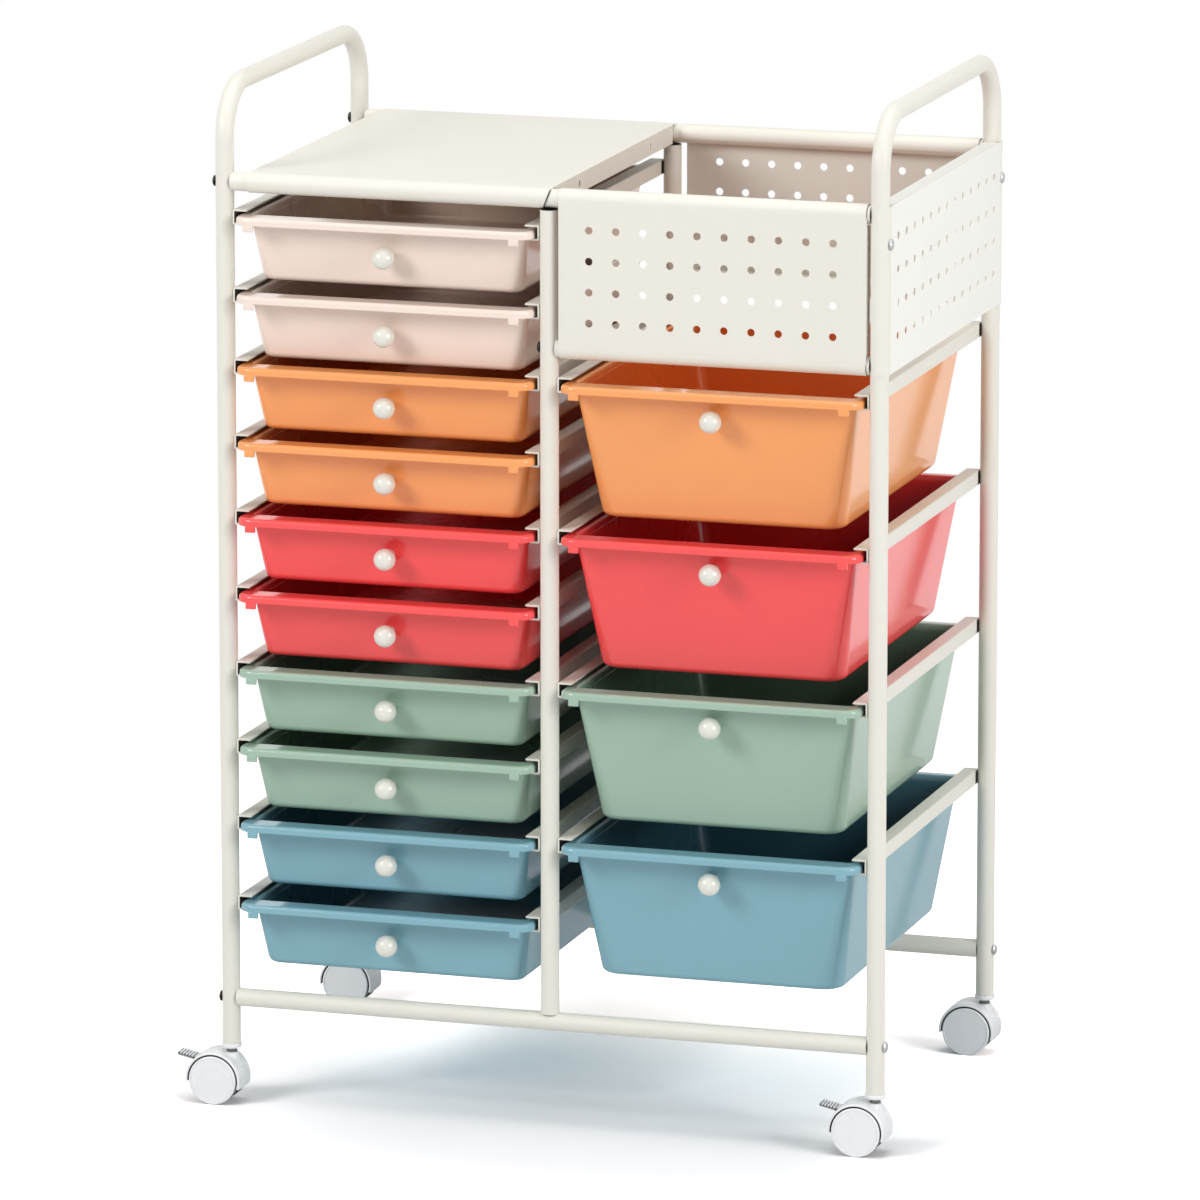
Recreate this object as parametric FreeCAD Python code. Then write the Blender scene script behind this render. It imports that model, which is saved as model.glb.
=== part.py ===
import FreeCAD, Part
import math
import os
from FreeCAD import Placement, Rotation, Vector

# Rolling drawer cart: a tube frame on four twin-wheel casters, ten shallow drawers on the left,
# a perforated basket and four deep drawers on the right. Millimetres, +X right, +Y back, +Z up.
# Everything is first placed about the middle of the four corner posts with the floor at z = 0,
# and the finished pieces are then moved so that the origin is the bottom centre of the whole cart.

# Tube frame
post_spread_x = 620.0
post_spread_y = 382.0
tube_diameter = 17.0
tube_wall = 1.2
tube_sides = 16
bend_chords = 5
post_foot_z = 57.0
bottom_tube_z = 101.0
panel_tube_z = 729.5
top_tube_z = 866.5
handle_rise = 86.5
handle_bend_radius = 50.0
middle_post_x = 0.0

# Sheet metal of the shelf and the basket
sheet = 1.0
shelf_left_gap = 24.0
shelf_right_overhang = 3.0
shelf_roll_end = 315.0
shelf_flange_height = 17.0
shelf_slot_height = 6.0
shelf_slot_width = 2.8
shelf_slot_spread = 218.0
panel_left_gap = 11.5
panel_right_gap = 9.4
panel_roll_past_back = 22.5
hole_diameter = 7.2
hole_sides = 6
panel_hole_columns = 10
panel_hole_rows = 4
panel_hole_pitch_x = 25.4
panel_hole_pitch_z = 28.3
front_hole_first_x = 40.1
rear_hole_first_x = 43.5
panel_hole_top_drop = 26.5
side_panel_below = 12.5
side_panel_above = 5.5
side_panel_wrap = 135.0
side_panel_lip = 15.0
side_hole_columns = 13
side_hole_pitch_y = 27.55
side_hole_pitch_z = 30.4
side_hole_top_drop = 22.0

# Drawer rails, C-shaped, open towards the drawer. Row heights are the undersides of the top flanges.
rail_width = 13.6
rail_gap = 10.9
rail_steel = 1.6
rail_front_reach = 4.0
rail_rear_setback = 4.0
rail_rows = (839.8, 767.8, 701.5, 631.4, 561.0, 489.5, 418.9, 345.8, 273.5, 197.6)
deep_drawer_rows = (2, 4, 6, 8)

# Drawers
rim_side_gap = 2.9
rim_lift = 0.3
rim_height = 7.3
rim_edge = 2.4
rim_front_reach = 20.0
rim_rear_setback = 4.5
rim_corner_radius = 15.0
rim_front_ledge = 22.5
rim_rear_ledge = 11.0
body_rail_gap = 0.9
body_corner_radius = 7.0
body_corner_growth = 0.11
floor_edge = 4.5
drawer_wall = 2.0
drawer_draft = 8.0
shallow_drawer_height = 61.5
deep_drawer_height = 126.0
corner_chords = 2
tab_width = 9.6
tab_drop = 5.5
tab_depth = 3.0
tab_inset = 10.5
shallow_knob_drop = 32.0
deep_knob_drop = 27.0

# Knobs
knob_diameter = 20.4
knob_neck_diameter = 9.0
knob_neck_length = 5.5
knob_sides = 8

# Bolts, their heads against the tubes
bolt_head_diameter = 10.4
bolt_head_height = 2.8
bolt_sides = 8
side_panel_bolt_drop = 26.5

# Casters
wheel_radius = 23.0
wheel_width = 11.0
wheel_edge = 1.6
wheel_sides = 16
caster_trail = 14.0
axle_diameter = 6.0
axle_cover = 3.0
web_width = 12.0
wheel_side_gap = 0.5
wheel_hood_gap = 1.4
hood_thickness = 2.8
hood_width = 33.0
hood_front_angle = -16.0
hood_rear_angle = 185.0
hood_chords = 10
hood_top_z = 48.3
neck_diameter = 13.0
neck_straight = 1.5
neck_flare = 4.8
neck_flare_height = 14.5
stem_diameter = 8.0
stem_top_z = 76.0
stem_bottom_z = 30.0
collar_diameter = 12.0
collar_height = 2.6
collar_gap = 0.3
plug_diameter = 18.6
plug_flange = 4.3
plug_length = 24.0
turned_sides = 8
running_gap = 0.06
seat_gap = 0.05

# Brake levers of the two front casters
lever_pivot_angle = 138.0
lever_rise = 11.0
lever_press = 20.0
lever_length = 19.0
lever_width = 15.0
lever_thickness = 2.4
lever_hub_radius = 2.2
lever_cam_radius = 2.5
lever_cam_lag = 32.0
lever_pin_diameter = 1.8
lever_pin_reach = 1.6
lever_pin_gap = 0.1
lever_notch_gap = 0.4
lever_hub_sides = 8
lever_pin_sides = 6
lever_ribs = 7
lever_rib_height = 0.9

# Worked out from the sizes above
tube_radius = tube_diameter / 2
handle_z = top_tube_z + handle_rise
post_x = post_spread_x / 2
post_y = post_spread_y / 2
rolled_radius = tube_radius + sheet
panel_x0 = middle_post_x + panel_left_gap
panel_x1 = post_x - panel_right_gap
rail_height = rail_gap + 2 * rail_steel
rail_y0 = -post_y - rail_front_reach
rail_y1 = post_y - rail_rear_setback
column_half = (post_x - middle_post_x) / 2 - tube_radius
left_column_x = (middle_post_x - post_x) / 2
right_column_x = (middle_post_x + post_x) / 2
rim_half = column_half - rail_steel - rim_side_gap
rim_y0 = -post_y - rim_front_reach
rim_y1 = post_y - rim_rear_setback
body_half = column_half - rail_width - body_rail_gap
body_y0 = rim_y0 + rim_front_ledge
body_y1 = rim_y1 - rim_rear_ledge
draft_slope = math.tan(math.radians(drawer_draft))
wheel_z = wheel_radius
hood_inner = wheel_radius + wheel_hood_gap
hood_outer = hood_inner + hood_thickness
plug_bottom_z = post_foot_z - plug_flange
collar_bottom_z = hood_top_z + collar_gap
corner_posts = {
    "front_left": (-post_x, -post_y),
    "front_right": (post_x, -post_y),
    "rear_left": (-post_x, post_y),
    "rear_right": (post_x, post_y),
}
braked = ("front_left", "front_right")
lever_cam_angle = lever_pivot_angle + 180.0 - lever_cam_lag
lever_turn = math.radians(180.0 - lever_pivot_angle - lever_rise + lever_press)


def polygon_face(points):
    """A flat face bounded by straight edges through the points."""
    return Part.Face(Part.makePolygon(points + [points[0]]))


def ring_solid(rings, hollow=False):
    """A solid skinned with flat strips between rings of equally many points.

    A hollow one runs from its last ring back to the first. Any other is closed by its two end rings."""
    faces = [] if hollow else [polygon_face(rings[0]), polygon_face(rings[-1])]
    count = len(rings[0])
    for low, high in zip(rings, rings[1:] + rings[:1] if hollow else rings[1:]):
        for k in range(count):
            after = (k + 1) % count
            faces.append(polygon_face([low[k], low[after], high[after], high[k]]))
    solid = Part.makeSolid(Part.makeShell(faces))
    if solid.Volume < 0:
        solid.reverse()
    return solid


def turned(profile, sides, base, axis):
    """A turned piece with flat sides: the profile lists (radius, distance along the axis)."""
    turn = Placement(base, Rotation(Vector(0, 0, 1), axis))
    rings = []
    for radius, distance in profile:
        ring = []
        for k in range(sides):
            angle = 2 * math.pi * (k + 0.5) / sides
            flat = Vector(radius * math.cos(angle), radius * math.sin(angle), distance)
            ring.append(turn.multVec(flat))
        rings.append(ring)
    return ring_solid(rings)


def rounded_ring(centre_x, half_x, y0, y1, radius, z):
    """Points around a rectangle whose corners are arcs taken in a few chords."""
    corners = (
        (centre_x + half_x - radius, y0 + radius, -90.0),
        (centre_x + half_x - radius, y1 - radius, 0.0),
        (centre_x - half_x + radius, y1 - radius, 90.0),
        (centre_x - half_x + radius, y0 + radius, 180.0),
    )
    ring = []
    for x, y, start in corners:
        for k in range(corner_chords + 1):
            angle = math.radians(start + 90.0 * k / corner_chords)
            ring.append(Vector(x + radius * math.cos(angle), y + radius * math.sin(angle), z))
    return ring


def box(x0, x1, y0, y1, z0, z1):
    """A box between two corners."""
    return Part.makeBox(x1 - x0, y1 - y0, z1 - z0, Vector(x0, y0, z0))


def tube_ring(centre, radius, across, up):
    """Corners round a tube's axis, with the flats between them at the given radius."""
    corner = radius / math.cos(math.pi / tube_sides)
    ring = []
    for k in range(tube_sides):
        angle = 2 * math.pi * (k + 0.5) / tube_sides
        ring.append(centre + across * (corner * math.cos(angle)) + up * (corner * math.sin(angle)))
    return ring


def tube(start, end, across, up):
    """A straight tube with its bore, between two points."""
    bore = tube_radius - tube_wall
    rings = [tube_ring(centre, tube_radius, across, up) for centre in (start, end)]
    rings += [tube_ring(centre, bore, across, up) for centre in (end, start)]
    return ring_solid(rings, hollow=True)


def polar(centre, radius, angle, plane):
    """A point at an angle round the centre, in the plane XY, XZ or YZ."""
    a = math.radians(angle)
    across = radius * math.cos(a)
    up = radius * math.sin(a)
    steps = {"XY": Vector(across, up, 0), "XZ": Vector(across, 0, up), "YZ": Vector(0, across, up)}
    return centre + steps[plane]


def rolled_strip(centre, start, end, plane, length):
    """Sheet rolled flat by flat round a tube, from one angle to another, square to the plane."""
    step = 360.0 / tube_sides
    bend_count = round((end - start) / step)
    bends = [start + (k + 0.5) * step for k in range(bend_count)]
    stretch = 1 / math.cos(math.pi / tube_sides)

    def side(radius):
        corners = [polar(centre, radius * stretch, angle, plane) for angle in bends]
        return [polar(centre, radius, start, plane)] + corners + [polar(centre, radius, end, plane)]

    outline = side(rolled_radius) + side(tube_radius)[::-1]
    along = {"XY": Vector(0, 0, length), "YZ": Vector(length, 0, 0)}
    return polygon_face(outline).extrude(along[plane])


def side_frame(x):
    """Two corner posts and the handle, bent from one tube. The legs are bored from below."""
    bend_z = handle_z - handle_bend_radius
    bend_y = post_y - handle_bend_radius
    bore = tube_radius - tube_wall
    across = Vector(1, 0, 0)
    front = Vector(0, -1, 0)
    rear = Vector(0, 1, 0)
    rings = [
        tube_ring(Vector(x, -post_y, bend_z), bore, across, front),
        tube_ring(Vector(x, -post_y, post_foot_z), bore, across, front),
        tube_ring(Vector(x, -post_y, post_foot_z), tube_radius, across, front),
    ]
    for bend, start in ((-bend_y, 180.0), (bend_y, 90.0)):
        centre = Vector(x, bend, bend_z)
        for k in range(bend_chords + 1):
            angle = start - 90.0 * k / bend_chords
            outward = polar(Vector(0, 0, 0), 1.0, angle, "YZ")
            on_axis = centre + outward * handle_bend_radius
            rings.append(tube_ring(on_axis, tube_radius, across, outward))
    rings += [
        tube_ring(Vector(x, post_y, post_foot_z), tube_radius, across, rear),
        tube_ring(Vector(x, post_y, post_foot_z), bore, across, rear),
        tube_ring(Vector(x, post_y, bend_z), bore, across, rear),
    ]
    return ring_solid(rings)


def middle_posts():
    """Posts between the drawer columns, standing on the bottom tubes under the top tubes."""
    low = bottom_tube_z + tube_radius
    high = top_tube_z - tube_radius
    across = Vector(1, 0, 0)
    back = Vector(0, 1, 0)
    posts = []
    for y in (-post_y, post_y):
        posts.append(tube(Vector(middle_post_x, y, low), Vector(middle_post_x, y, high), across, back))
    return posts


def cross_tubes(x0, x1, z):
    """A front and a rear tube along X."""
    back = Vector(0, 1, 0)
    up = Vector(0, 0, 1)
    return [tube(Vector(x0, y, z), Vector(x1, y, z), back, up) for y in (-post_y, post_y)]


def top_shelf():
    """Sheet over the top tubes, rolled round both, with a slotted flange along its right edge."""
    x0 = -post_x + shelf_left_gap
    x1 = middle_post_x + shelf_right_overhang
    z = top_tube_z + tube_radius
    front_axis = Vector(x0, -post_y, top_tube_z)
    rear_axis = Vector(x0, post_y, top_tube_z)
    shelf = box(x0, x1, -post_y, post_y, z, z + sheet)
    shelf = shelf.fuse([
        rolled_strip(front_axis, 90.0, shelf_roll_end, "YZ", x1 - x0),
        rolled_strip(rear_axis, 180.0 - shelf_roll_end, 90.0, "YZ", x1 - x0),
        box(x1 - sheet, x1, -post_y + rolled_radius, post_y - rolled_radius, z - shelf_flange_height, z),
    ])
    slot_z = z - shelf_flange_height / 2
    for side in (-1, 1):
        y = side * shelf_slot_spread / 2
        slot = box(
            x1 - 2 * sheet, x1 + sheet,
            y - shelf_slot_width / 2, y + shelf_slot_width / 2,
            slot_z - shelf_slot_height / 2, slot_z + shelf_slot_height / 2,
        )
        shelf = shelf.cut(slot)
    return shelf.removeSplitter()


def hole_cutter(point, axis):
    """A prism that punches one hole through a sheet. Its few sides keep the many holes light."""
    reach = 2 * sheet
    profile = [(hole_diameter / 2, -reach), (hole_diameter / 2, reach)]
    return turned(profile, hole_sides, point, axis)


def basket_panel(side, first_hole_x):
    """A perforated panel rolled over the top tube and under the panel tube; side is -1 front, 1 rear."""
    y = side * post_y
    face_y = side * (post_y + tube_radius + sheet / 2)
    length = panel_x1 - panel_x0
    top_axis = Vector(panel_x0, y, top_tube_z)
    low_axis = Vector(panel_x0, y, panel_tube_z)
    past = panel_roll_past_back
    if side < 0:
        top_roll = rolled_strip(top_axis, -past, 180.0, "YZ", length)
        low_roll = rolled_strip(low_axis, 180.0, 360.0 + past, "YZ", length)
    else:
        top_roll = rolled_strip(top_axis, 0.0, 180.0 + past, "YZ", length)
        low_roll = rolled_strip(low_axis, 180.0 - past, 360.0, "YZ", length)
    plate = box(panel_x0, panel_x1, face_y - sheet / 2, face_y + sheet / 2, panel_tube_z, top_tube_z)
    cutters = []
    for column in range(panel_hole_columns):
        for row in range(panel_hole_rows):
            x = middle_post_x + first_hole_x + column * panel_hole_pitch_x
            z = top_tube_z - panel_hole_top_drop - row * panel_hole_pitch_z
            cutters.append(hole_cutter(Vector(x, face_y, z), Vector(0, 1, 0)))
    plate = plate.cut(cutters)
    return plate.fuse([top_roll, low_roll]).removeSplitter()


def side_panel():
    """The basket's right side, wrapped round both right posts, with a lip folded in along its top."""
    z0 = panel_tube_z - side_panel_below
    z1 = top_tube_z + side_panel_above
    face_x = post_x + tube_radius + sheet / 2
    plate = box(face_x - sheet / 2, face_x + sheet / 2, -post_y, post_y, z0, z1)
    cutters = []
    first_y = -(side_hole_columns - 1) / 2 * side_hole_pitch_y
    for column in range(side_hole_columns):
        for row in range(panel_hole_rows):
            y = first_y + column * side_hole_pitch_y
            z = top_tube_z - side_hole_top_drop - row * side_hole_pitch_z
            cutters.append(hole_cutter(Vector(face_x, y, z), Vector(1, 0, 0)))
    plate = plate.cut(cutters)
    front_axis = Vector(post_x, -post_y, z0)
    rear_axis = Vector(post_x, post_y, z0)
    lip_y = post_y - rolled_radius
    lip_x = face_x + sheet / 2
    lip = box(lip_x - side_panel_lip, lip_x, -lip_y, lip_y, z1 - sheet, z1)
    wraps = [
        rolled_strip(front_axis, 360.0 - side_panel_wrap, 360.0, "XY", z1 - z0),
        rolled_strip(rear_axis, 0.0, side_panel_wrap, "XY", z1 - z0),
    ]
    return plate.fuse(wraps + [lip]).removeSplitter()


def rail(web_x, opens, row_z):
    """One C-shaped rail with its web at web_x, opening towards +X or -X."""
    outline = (
        (0.0, rail_steel), (rail_width, rail_steel), (rail_width, 0.0), (rail_steel, 0.0),
        (rail_steel, -rail_gap), (rail_width, -rail_gap),
        (rail_width, -rail_gap - rail_steel), (0.0, -rail_gap - rail_steel),
    )
    points = [Vector(web_x + opens * across, rail_y0, row_z + up) for across, up in outline]
    return polygon_face(points).extrude(Vector(0, rail_y1 - rail_y0, 0))


def rails(web_x, opens, rows):
    """The rails of one side of a drawer column."""
    return [rail(web_x, opens, rail_rows[row]) for row in rows]


def drawer_rings(centre_x, rim_z, height):
    """Rings from the underside of the floor, up outside, over the rim and down inside to the floor.

    The wall's corners grow rounder towards the floor."""
    depth = height - rim_height
    floor_z = rim_z - depth

    def body(z, inset=0.0):
        drop = rim_z - z
        drawn_in = drop * draft_slope + inset
        radius = body_corner_radius + drop * body_corner_growth - inset
        return rounded_ring(
            centre_x, body_half - drawn_in, body_y0 + drawn_in, body_y1 - drawn_in, radius, z
        )

    def rim(z, inset=0.0):
        radius = rim_corner_radius - inset
        return rounded_ring(centre_x, rim_half - inset, rim_y0 + inset, rim_y1 - inset, radius, z)

    top_z = rim_z + rim_height
    return [
        body(floor_z, floor_edge),
        body(floor_z + floor_edge),
        body(rim_z),
        rim(rim_z),
        rim(top_z - rim_edge),
        rim(top_z, rim_edge),
        body(top_z, drawer_wall),
        body(floor_z + drawer_wall, drawer_wall),
    ]


def drawer(centre_x, row, height):
    """A tapered tray hung by its rim, with a small square tab under each front corner."""
    rim_z = rail_rows[row] - rail_gap + rim_lift
    tray = ring_solid(drawer_rings(centre_x, rim_z, height))
    tabs = []
    for side in (-1, 1):
        x = centre_x + side * (rim_half - tab_inset - tab_width / 2)
        half = tab_width / 2
        tabs.append(box(x - half, x + half, rim_y0, rim_y0 + tab_depth, rim_z - tab_drop, rim_z))
    return tray.fuse(tabs).removeSplitter()


def knob(centre_x, row, drop):
    """A ball knob on a short neck, square to the drawer's sloping front."""
    rim_z = rail_rows[row] - rail_gap + rim_lift
    tilt = math.radians(drawer_draft)
    reach = knob_neck_length + knob_diameter / 2
    seat_drop = drop - rim_height - reach * math.sin(tilt)
    base = Vector(centre_x, body_y0 + seat_drop * draft_slope, rim_z - seat_drop)
    axis = Vector(0, -math.cos(tilt), -math.sin(tilt))
    ball = knob_diameter / 2
    neck = knob_neck_diameter / 2
    centre = knob_neck_length + ball
    profile = [(neck, 0.0), (neck, knob_neck_length)]
    for angle in (-35.0, 15.0, 55.0):
        a = math.radians(angle)
        profile.append((ball * math.cos(a), centre + ball * math.sin(a)))
    return turned(profile, knob_sides, base, axis)


def bolt_head(point, axis):
    """A low domed bolt head."""
    wide = bolt_head_diameter / 2
    profile = [(wide, 0.0), (wide, bolt_head_height * 0.4), (wide * 0.6, bolt_head_height)]
    return turned(profile, bolt_sides, point, axis)


def frame_bolts():
    """Black bolts through the left posts and the middle posts into the cross tubes."""
    left = Vector(-1, 0, 0)
    heads = []
    for y in (-post_y, post_y):
        for z in (bottom_tube_z, top_tube_z):
            heads.append(bolt_head(Vector(-post_x - tube_radius, y, z), left))
        heads.append(bolt_head(Vector(middle_post_x - tube_radius, y, panel_tube_z), left))
    return heads


def plated_bolts():
    """Plated bolts through the right posts: into the bottom tubes, and outside the side panel."""
    right = Vector(1, 0, 0)
    heads = []
    for y in (-post_y, post_y):
        heads.append(bolt_head(Vector(post_x + tube_radius, y, bottom_tube_z), right))
        heads.append(bolt_head(Vector(post_x + rolled_radius, y, top_tube_z - side_panel_bolt_drop), right))
    return heads


def post_plug(x, y):
    """A plastic plug in a post's foot, bored from below for the caster stem."""
    flange = plug_diameter / 2
    spigot = tube_radius - tube_wall - seat_gap
    bore = stem_diameter / 2 + seat_gap
    bore_length = stem_top_z - plug_bottom_z
    profile = [
        (bore, bore_length), (bore, 0.0), (flange, 0.0), (flange, plug_flange),
        (spigot, plug_flange), (spigot, plug_flange + plug_length),
    ]
    return turned(profile, turned_sides, Vector(x, y, plug_bottom_z), Vector(0, 0, 1))


def caster_stem(x, y):
    """A steel pin with a collar. It is fixed in the plug and turns in the hood's socket."""
    pin = stem_diameter / 2
    collar = collar_diameter / 2
    profile = [
        (pin, stem_bottom_z), (pin, collar_bottom_z), (collar, collar_bottom_z),
        (collar, collar_bottom_z + collar_height), (pin, collar_bottom_z + collar_height), (pin, stem_top_z),
    ]
    return turned(profile, turned_sides, Vector(x, y, 0), Vector(0, 0, 1))


def inscribed(radius, sides):
    """Corner radius of a many-sided piece or hole whose flats stand at the given radius."""
    return radius / math.cos(math.pi / sides)


def arc_points(centre, radius, start, end, chords):
    """Points along an arc in the XZ plane."""
    steps = [start + (end - start) * k / chords for k in range(chords + 1)]
    return [polar(centre, radius, angle, "XZ") for angle in steps]


def caster_hood(x, y, brake):
    """The fender over both wheels, the web between them and the flared neck that turns on the stem."""
    axle = Vector(x - caster_trail, y, wheel_z)
    outer = arc_points(axle, hood_outer, hood_front_angle, hood_rear_angle, hood_chords)
    inner = arc_points(axle, hood_inner, hood_rear_angle, hood_front_angle, hood_chords)
    fender = polygon_face(outer + inner).extrude(Vector(0, hood_width, 0))
    fender.translate(Vector(0, -hood_width / 2, 0))
    web_outline = arc_points(axle, (hood_inner + hood_outer) / 2, hood_front_angle, hood_rear_angle, hood_chords)
    web = polygon_face(web_outline).extrude(Vector(0, web_width, 0))
    web.translate(Vector(0, -web_width / 2, 0))
    wheel_space = polygon_face(inner).extrude(Vector(0, hood_width, 0))
    wheel_space.translate(Vector(0, -hood_width / 2, 0))
    neck = neck_diameter / 2
    shoulder_z = hood_top_z - neck_straight
    profile = [(neck + neck_flare, shoulder_z - neck_flare_height), (neck, shoulder_z), (neck, hood_top_z)]
    flared_neck = turned(profile, turned_sides, Vector(x, y, 0), Vector(0, 0, 1)).cut(wheel_space)
    hood = fender.fuse([web, flared_neck])
    socket_radius = inscribed(stem_diameter / 2 + running_gap, turned_sides)
    socket = [(socket_radius, stem_bottom_z - collar_gap), (socket_radius, hood_top_z + hood_thickness)]
    hood = hood.cut(turned(socket, turned_sides, Vector(x, y, 0), Vector(0, 0, 1)))
    axle_hole = inscribed(axle_diameter / 2 + running_gap, turned_sides)
    hole = [(axle_hole, -web_width), (axle_hole, web_width)]
    hood = hood.cut(turned(hole, turned_sides, axle, Vector(0, 1, 0)))
    if brake:
        hood = hood.cut(lever_notch(axle))
    return hood.removeSplitter()


def lever_pivot(axle):
    """Where the lever's pins sit in the fender."""
    return polar(axle, (hood_inner + hood_outer) / 2, lever_pivot_angle, "XZ")


def lever_notch(axle):
    """The window in the fender for the lever, with a pin hole in each of its cheeks.

    Below its pins it is as high as the pressed lever needs where that leaves the fender's outer face."""
    pivot = lever_pivot(axle)
    half_y = lever_width / 2 + lever_notch_gap
    above = lever_cam_radius + lever_notch_gap
    arm = lever_thickness / 2 / math.cos(lever_turn)
    below = hood_thickness / 2 * math.tan(lever_turn) + arm + lever_notch_gap
    window = box(-2 * above, 2 * above, -half_y, half_y, -below, above)
    window.rotate(Vector(0, 0, 0), Vector(0, 1, 0), 180.0 - lever_pivot_angle)
    window.translate(pivot)
    pin = inscribed(lever_pin_diameter / 2 + lever_pin_gap, lever_pin_sides)
    reach = lever_width / 2 + lever_pin_reach + lever_notch_gap
    holes = turned([(pin, -reach), (pin, reach)], lever_pin_sides, pivot, Vector(0, 1, 0))
    return window.fuse(holes)


def brake_lever(x, y):
    """A ribbed foot lever on two small pins. Its cam closes on the wheels when it is pressed down."""
    axle = Vector(x - caster_trail, y, wheel_z)
    pivot = lever_pivot(axle)
    hub_points = []
    for k in range(lever_hub_sides):
        radius = lever_cam_radius if k == 0 else lever_hub_radius
        angle = lever_cam_angle + 360.0 * k / lever_hub_sides
        hub_points.append(polar(Vector(0, -lever_width / 2, 0), radius, angle, "XZ"))
    hub = polygon_face(hub_points).extrude(Vector(0, lever_width, 0))
    pin = lever_pin_diameter / 2
    reach = lever_width / 2 + lever_pin_reach
    pins = turned([(pin, -reach), (pin, reach)], lever_pin_sides, Vector(0, 0, 0), Vector(0, 1, 0))
    half_y = lever_width / 2
    arm = box(-lever_length, 0.0, -half_y, half_y, -lever_thickness / 2, lever_thickness / 2)
    ribs = []
    pitch = (lever_length - 2 * lever_hub_radius) / lever_ribs
    for k in range(lever_ribs):
        x0 = -lever_length + k * pitch
        top = lever_thickness / 2
        ribs.append(box(x0, x0 + pitch / 2, -half_y, half_y, top, top + lever_rib_height))
    arm = arm.fuse(ribs)
    arm.rotate(Vector(0, 0, 0), Vector(0, 1, 0), lever_rise)
    lever = hub.fuse([pins, arm])
    lever.translate(pivot)
    return lever.removeSplitter()


def caster_axle(x, y):
    """The steel axle, pressed into both wheels and turning with them in the hood's web."""
    half = web_width / 2 + wheel_side_gap + wheel_width - axle_cover
    profile = [(axle_diameter / 2, -half), (axle_diameter / 2, half)]
    return turned(profile, wheel_sides, Vector(x - caster_trail, y, wheel_z), Vector(0, 1, 0))


def caster_wheels(x, y):
    """The two wheels of one caster, each bored from inside for the axle."""
    inner = web_width / 2 + wheel_side_gap
    outer = inner + wheel_width
    bore = axle_diameter / 2
    tread = inscribed(wheel_radius, wheel_sides)
    profile = [
        (bore, outer - axle_cover), (bore, inner), (tread, inner),
        (tread, outer - wheel_edge), (tread - wheel_edge, outer),
    ]
    centre = Vector(x - caster_trail, y, wheel_z)
    return [turned(profile, wheel_sides, centre, Vector(0, side, 0)) for side in (-1, 1)]


def build_nodes():
    """Every named piece of the cart as a list of solids, about the middle of the posts."""
    all_rows = range(len(rail_rows))
    post_face = post_x - tube_radius
    middle_left = middle_post_x - tube_radius
    middle_right = middle_post_x + tube_radius
    nodes = {
        "left_side_frame": [side_frame(-post_x)],
        "right_side_frame": [side_frame(post_x)],
        "middle_posts": middle_posts(),
        "bottom_tubes": cross_tubes(-post_face, post_face, bottom_tube_z),
        "top_tubes": cross_tubes(-post_face, post_face, top_tube_z),
        "panel_tubes": cross_tubes(middle_right, post_face, panel_tube_z),
        "top_shelf": [top_shelf()],
        "front_panel": [basket_panel(-1, front_hole_first_x)],
        "rear_panel": [basket_panel(1, rear_hole_first_x)],
        "side_panel": [side_panel()],
        "left_rails": rails(-post_face, 1, all_rows),
        "middle_rails": rails(middle_left, -1, all_rows) + rails(middle_right, 1, deep_drawer_rows),
        "right_rails": rails(post_face, -1, deep_drawer_rows),
        "frame_bolts": frame_bolts(),
        "plated_bolts": plated_bolts(),
        "post_plugs": [post_plug(x, y) for x, y in corner_posts.values()],
        "caster_stems": [caster_stem(x, y) for x, y in corner_posts.values()],
    }
    for row in all_rows:
        name = "shallow_drawer_%02d" % (row + 1)
        nodes[name] = [drawer(left_column_x, row, shallow_drawer_height)]
        nodes[name + "_knob"] = [knob(left_column_x, row, shallow_knob_drop)]
    for number, row in enumerate(deep_drawer_rows, start=1):
        name = "deep_drawer_%d" % number
        nodes[name] = [drawer(right_column_x, row, deep_drawer_height)]
        nodes[name + "_knob"] = [knob(right_column_x, row, deep_knob_drop)]
    for corner, (x, y) in corner_posts.items():
        nodes["caster_hood_" + corner] = [caster_hood(x, y, corner in braked)]
        nodes["caster_axle_" + corner] = [caster_axle(x, y)]
        nodes["caster_wheels_" + corner] = caster_wheels(x, y)
        if corner in braked:
            nodes["brake_lever_" + corner] = [brake_lever(x, y)]
    return nodes


def origin_shift(nodes):
    """The move that puts the origin at the bottom centre of the whole cart's box."""
    whole = Part.makeCompound([solid for solids in nodes.values() for solid in solids])
    reach = whole.optimalBoundingBox(False, False)
    return Vector(-(reach.XMin + reach.XMax) / 2, -(reach.YMin + reach.YMax) / 2, -reach.ZMin)


def export_nodes(nodes):
    """One STEP file for each named piece."""
    os.makedirs("parts", exist_ok=True)
    for name, solids in nodes.items():
        shape = solids[0] if len(solids) == 1 else Part.makeCompound(solids)
        shape.exportStep(os.path.join("parts", name + ".step"))


cart = build_nodes()
shift = origin_shift(cart)
for solids in cart.values():
    for solid in solids:
        solid.translate(shift)
export_nodes(cart)
print("origin shift", shift.x, shift.y, shift.z, "nodes", len(cart))
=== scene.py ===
"""Looks of the rolling drawer cart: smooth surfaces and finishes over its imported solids.

Shapes are worked out in millimetres and become metres when a mesh is made."""

import math

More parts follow.
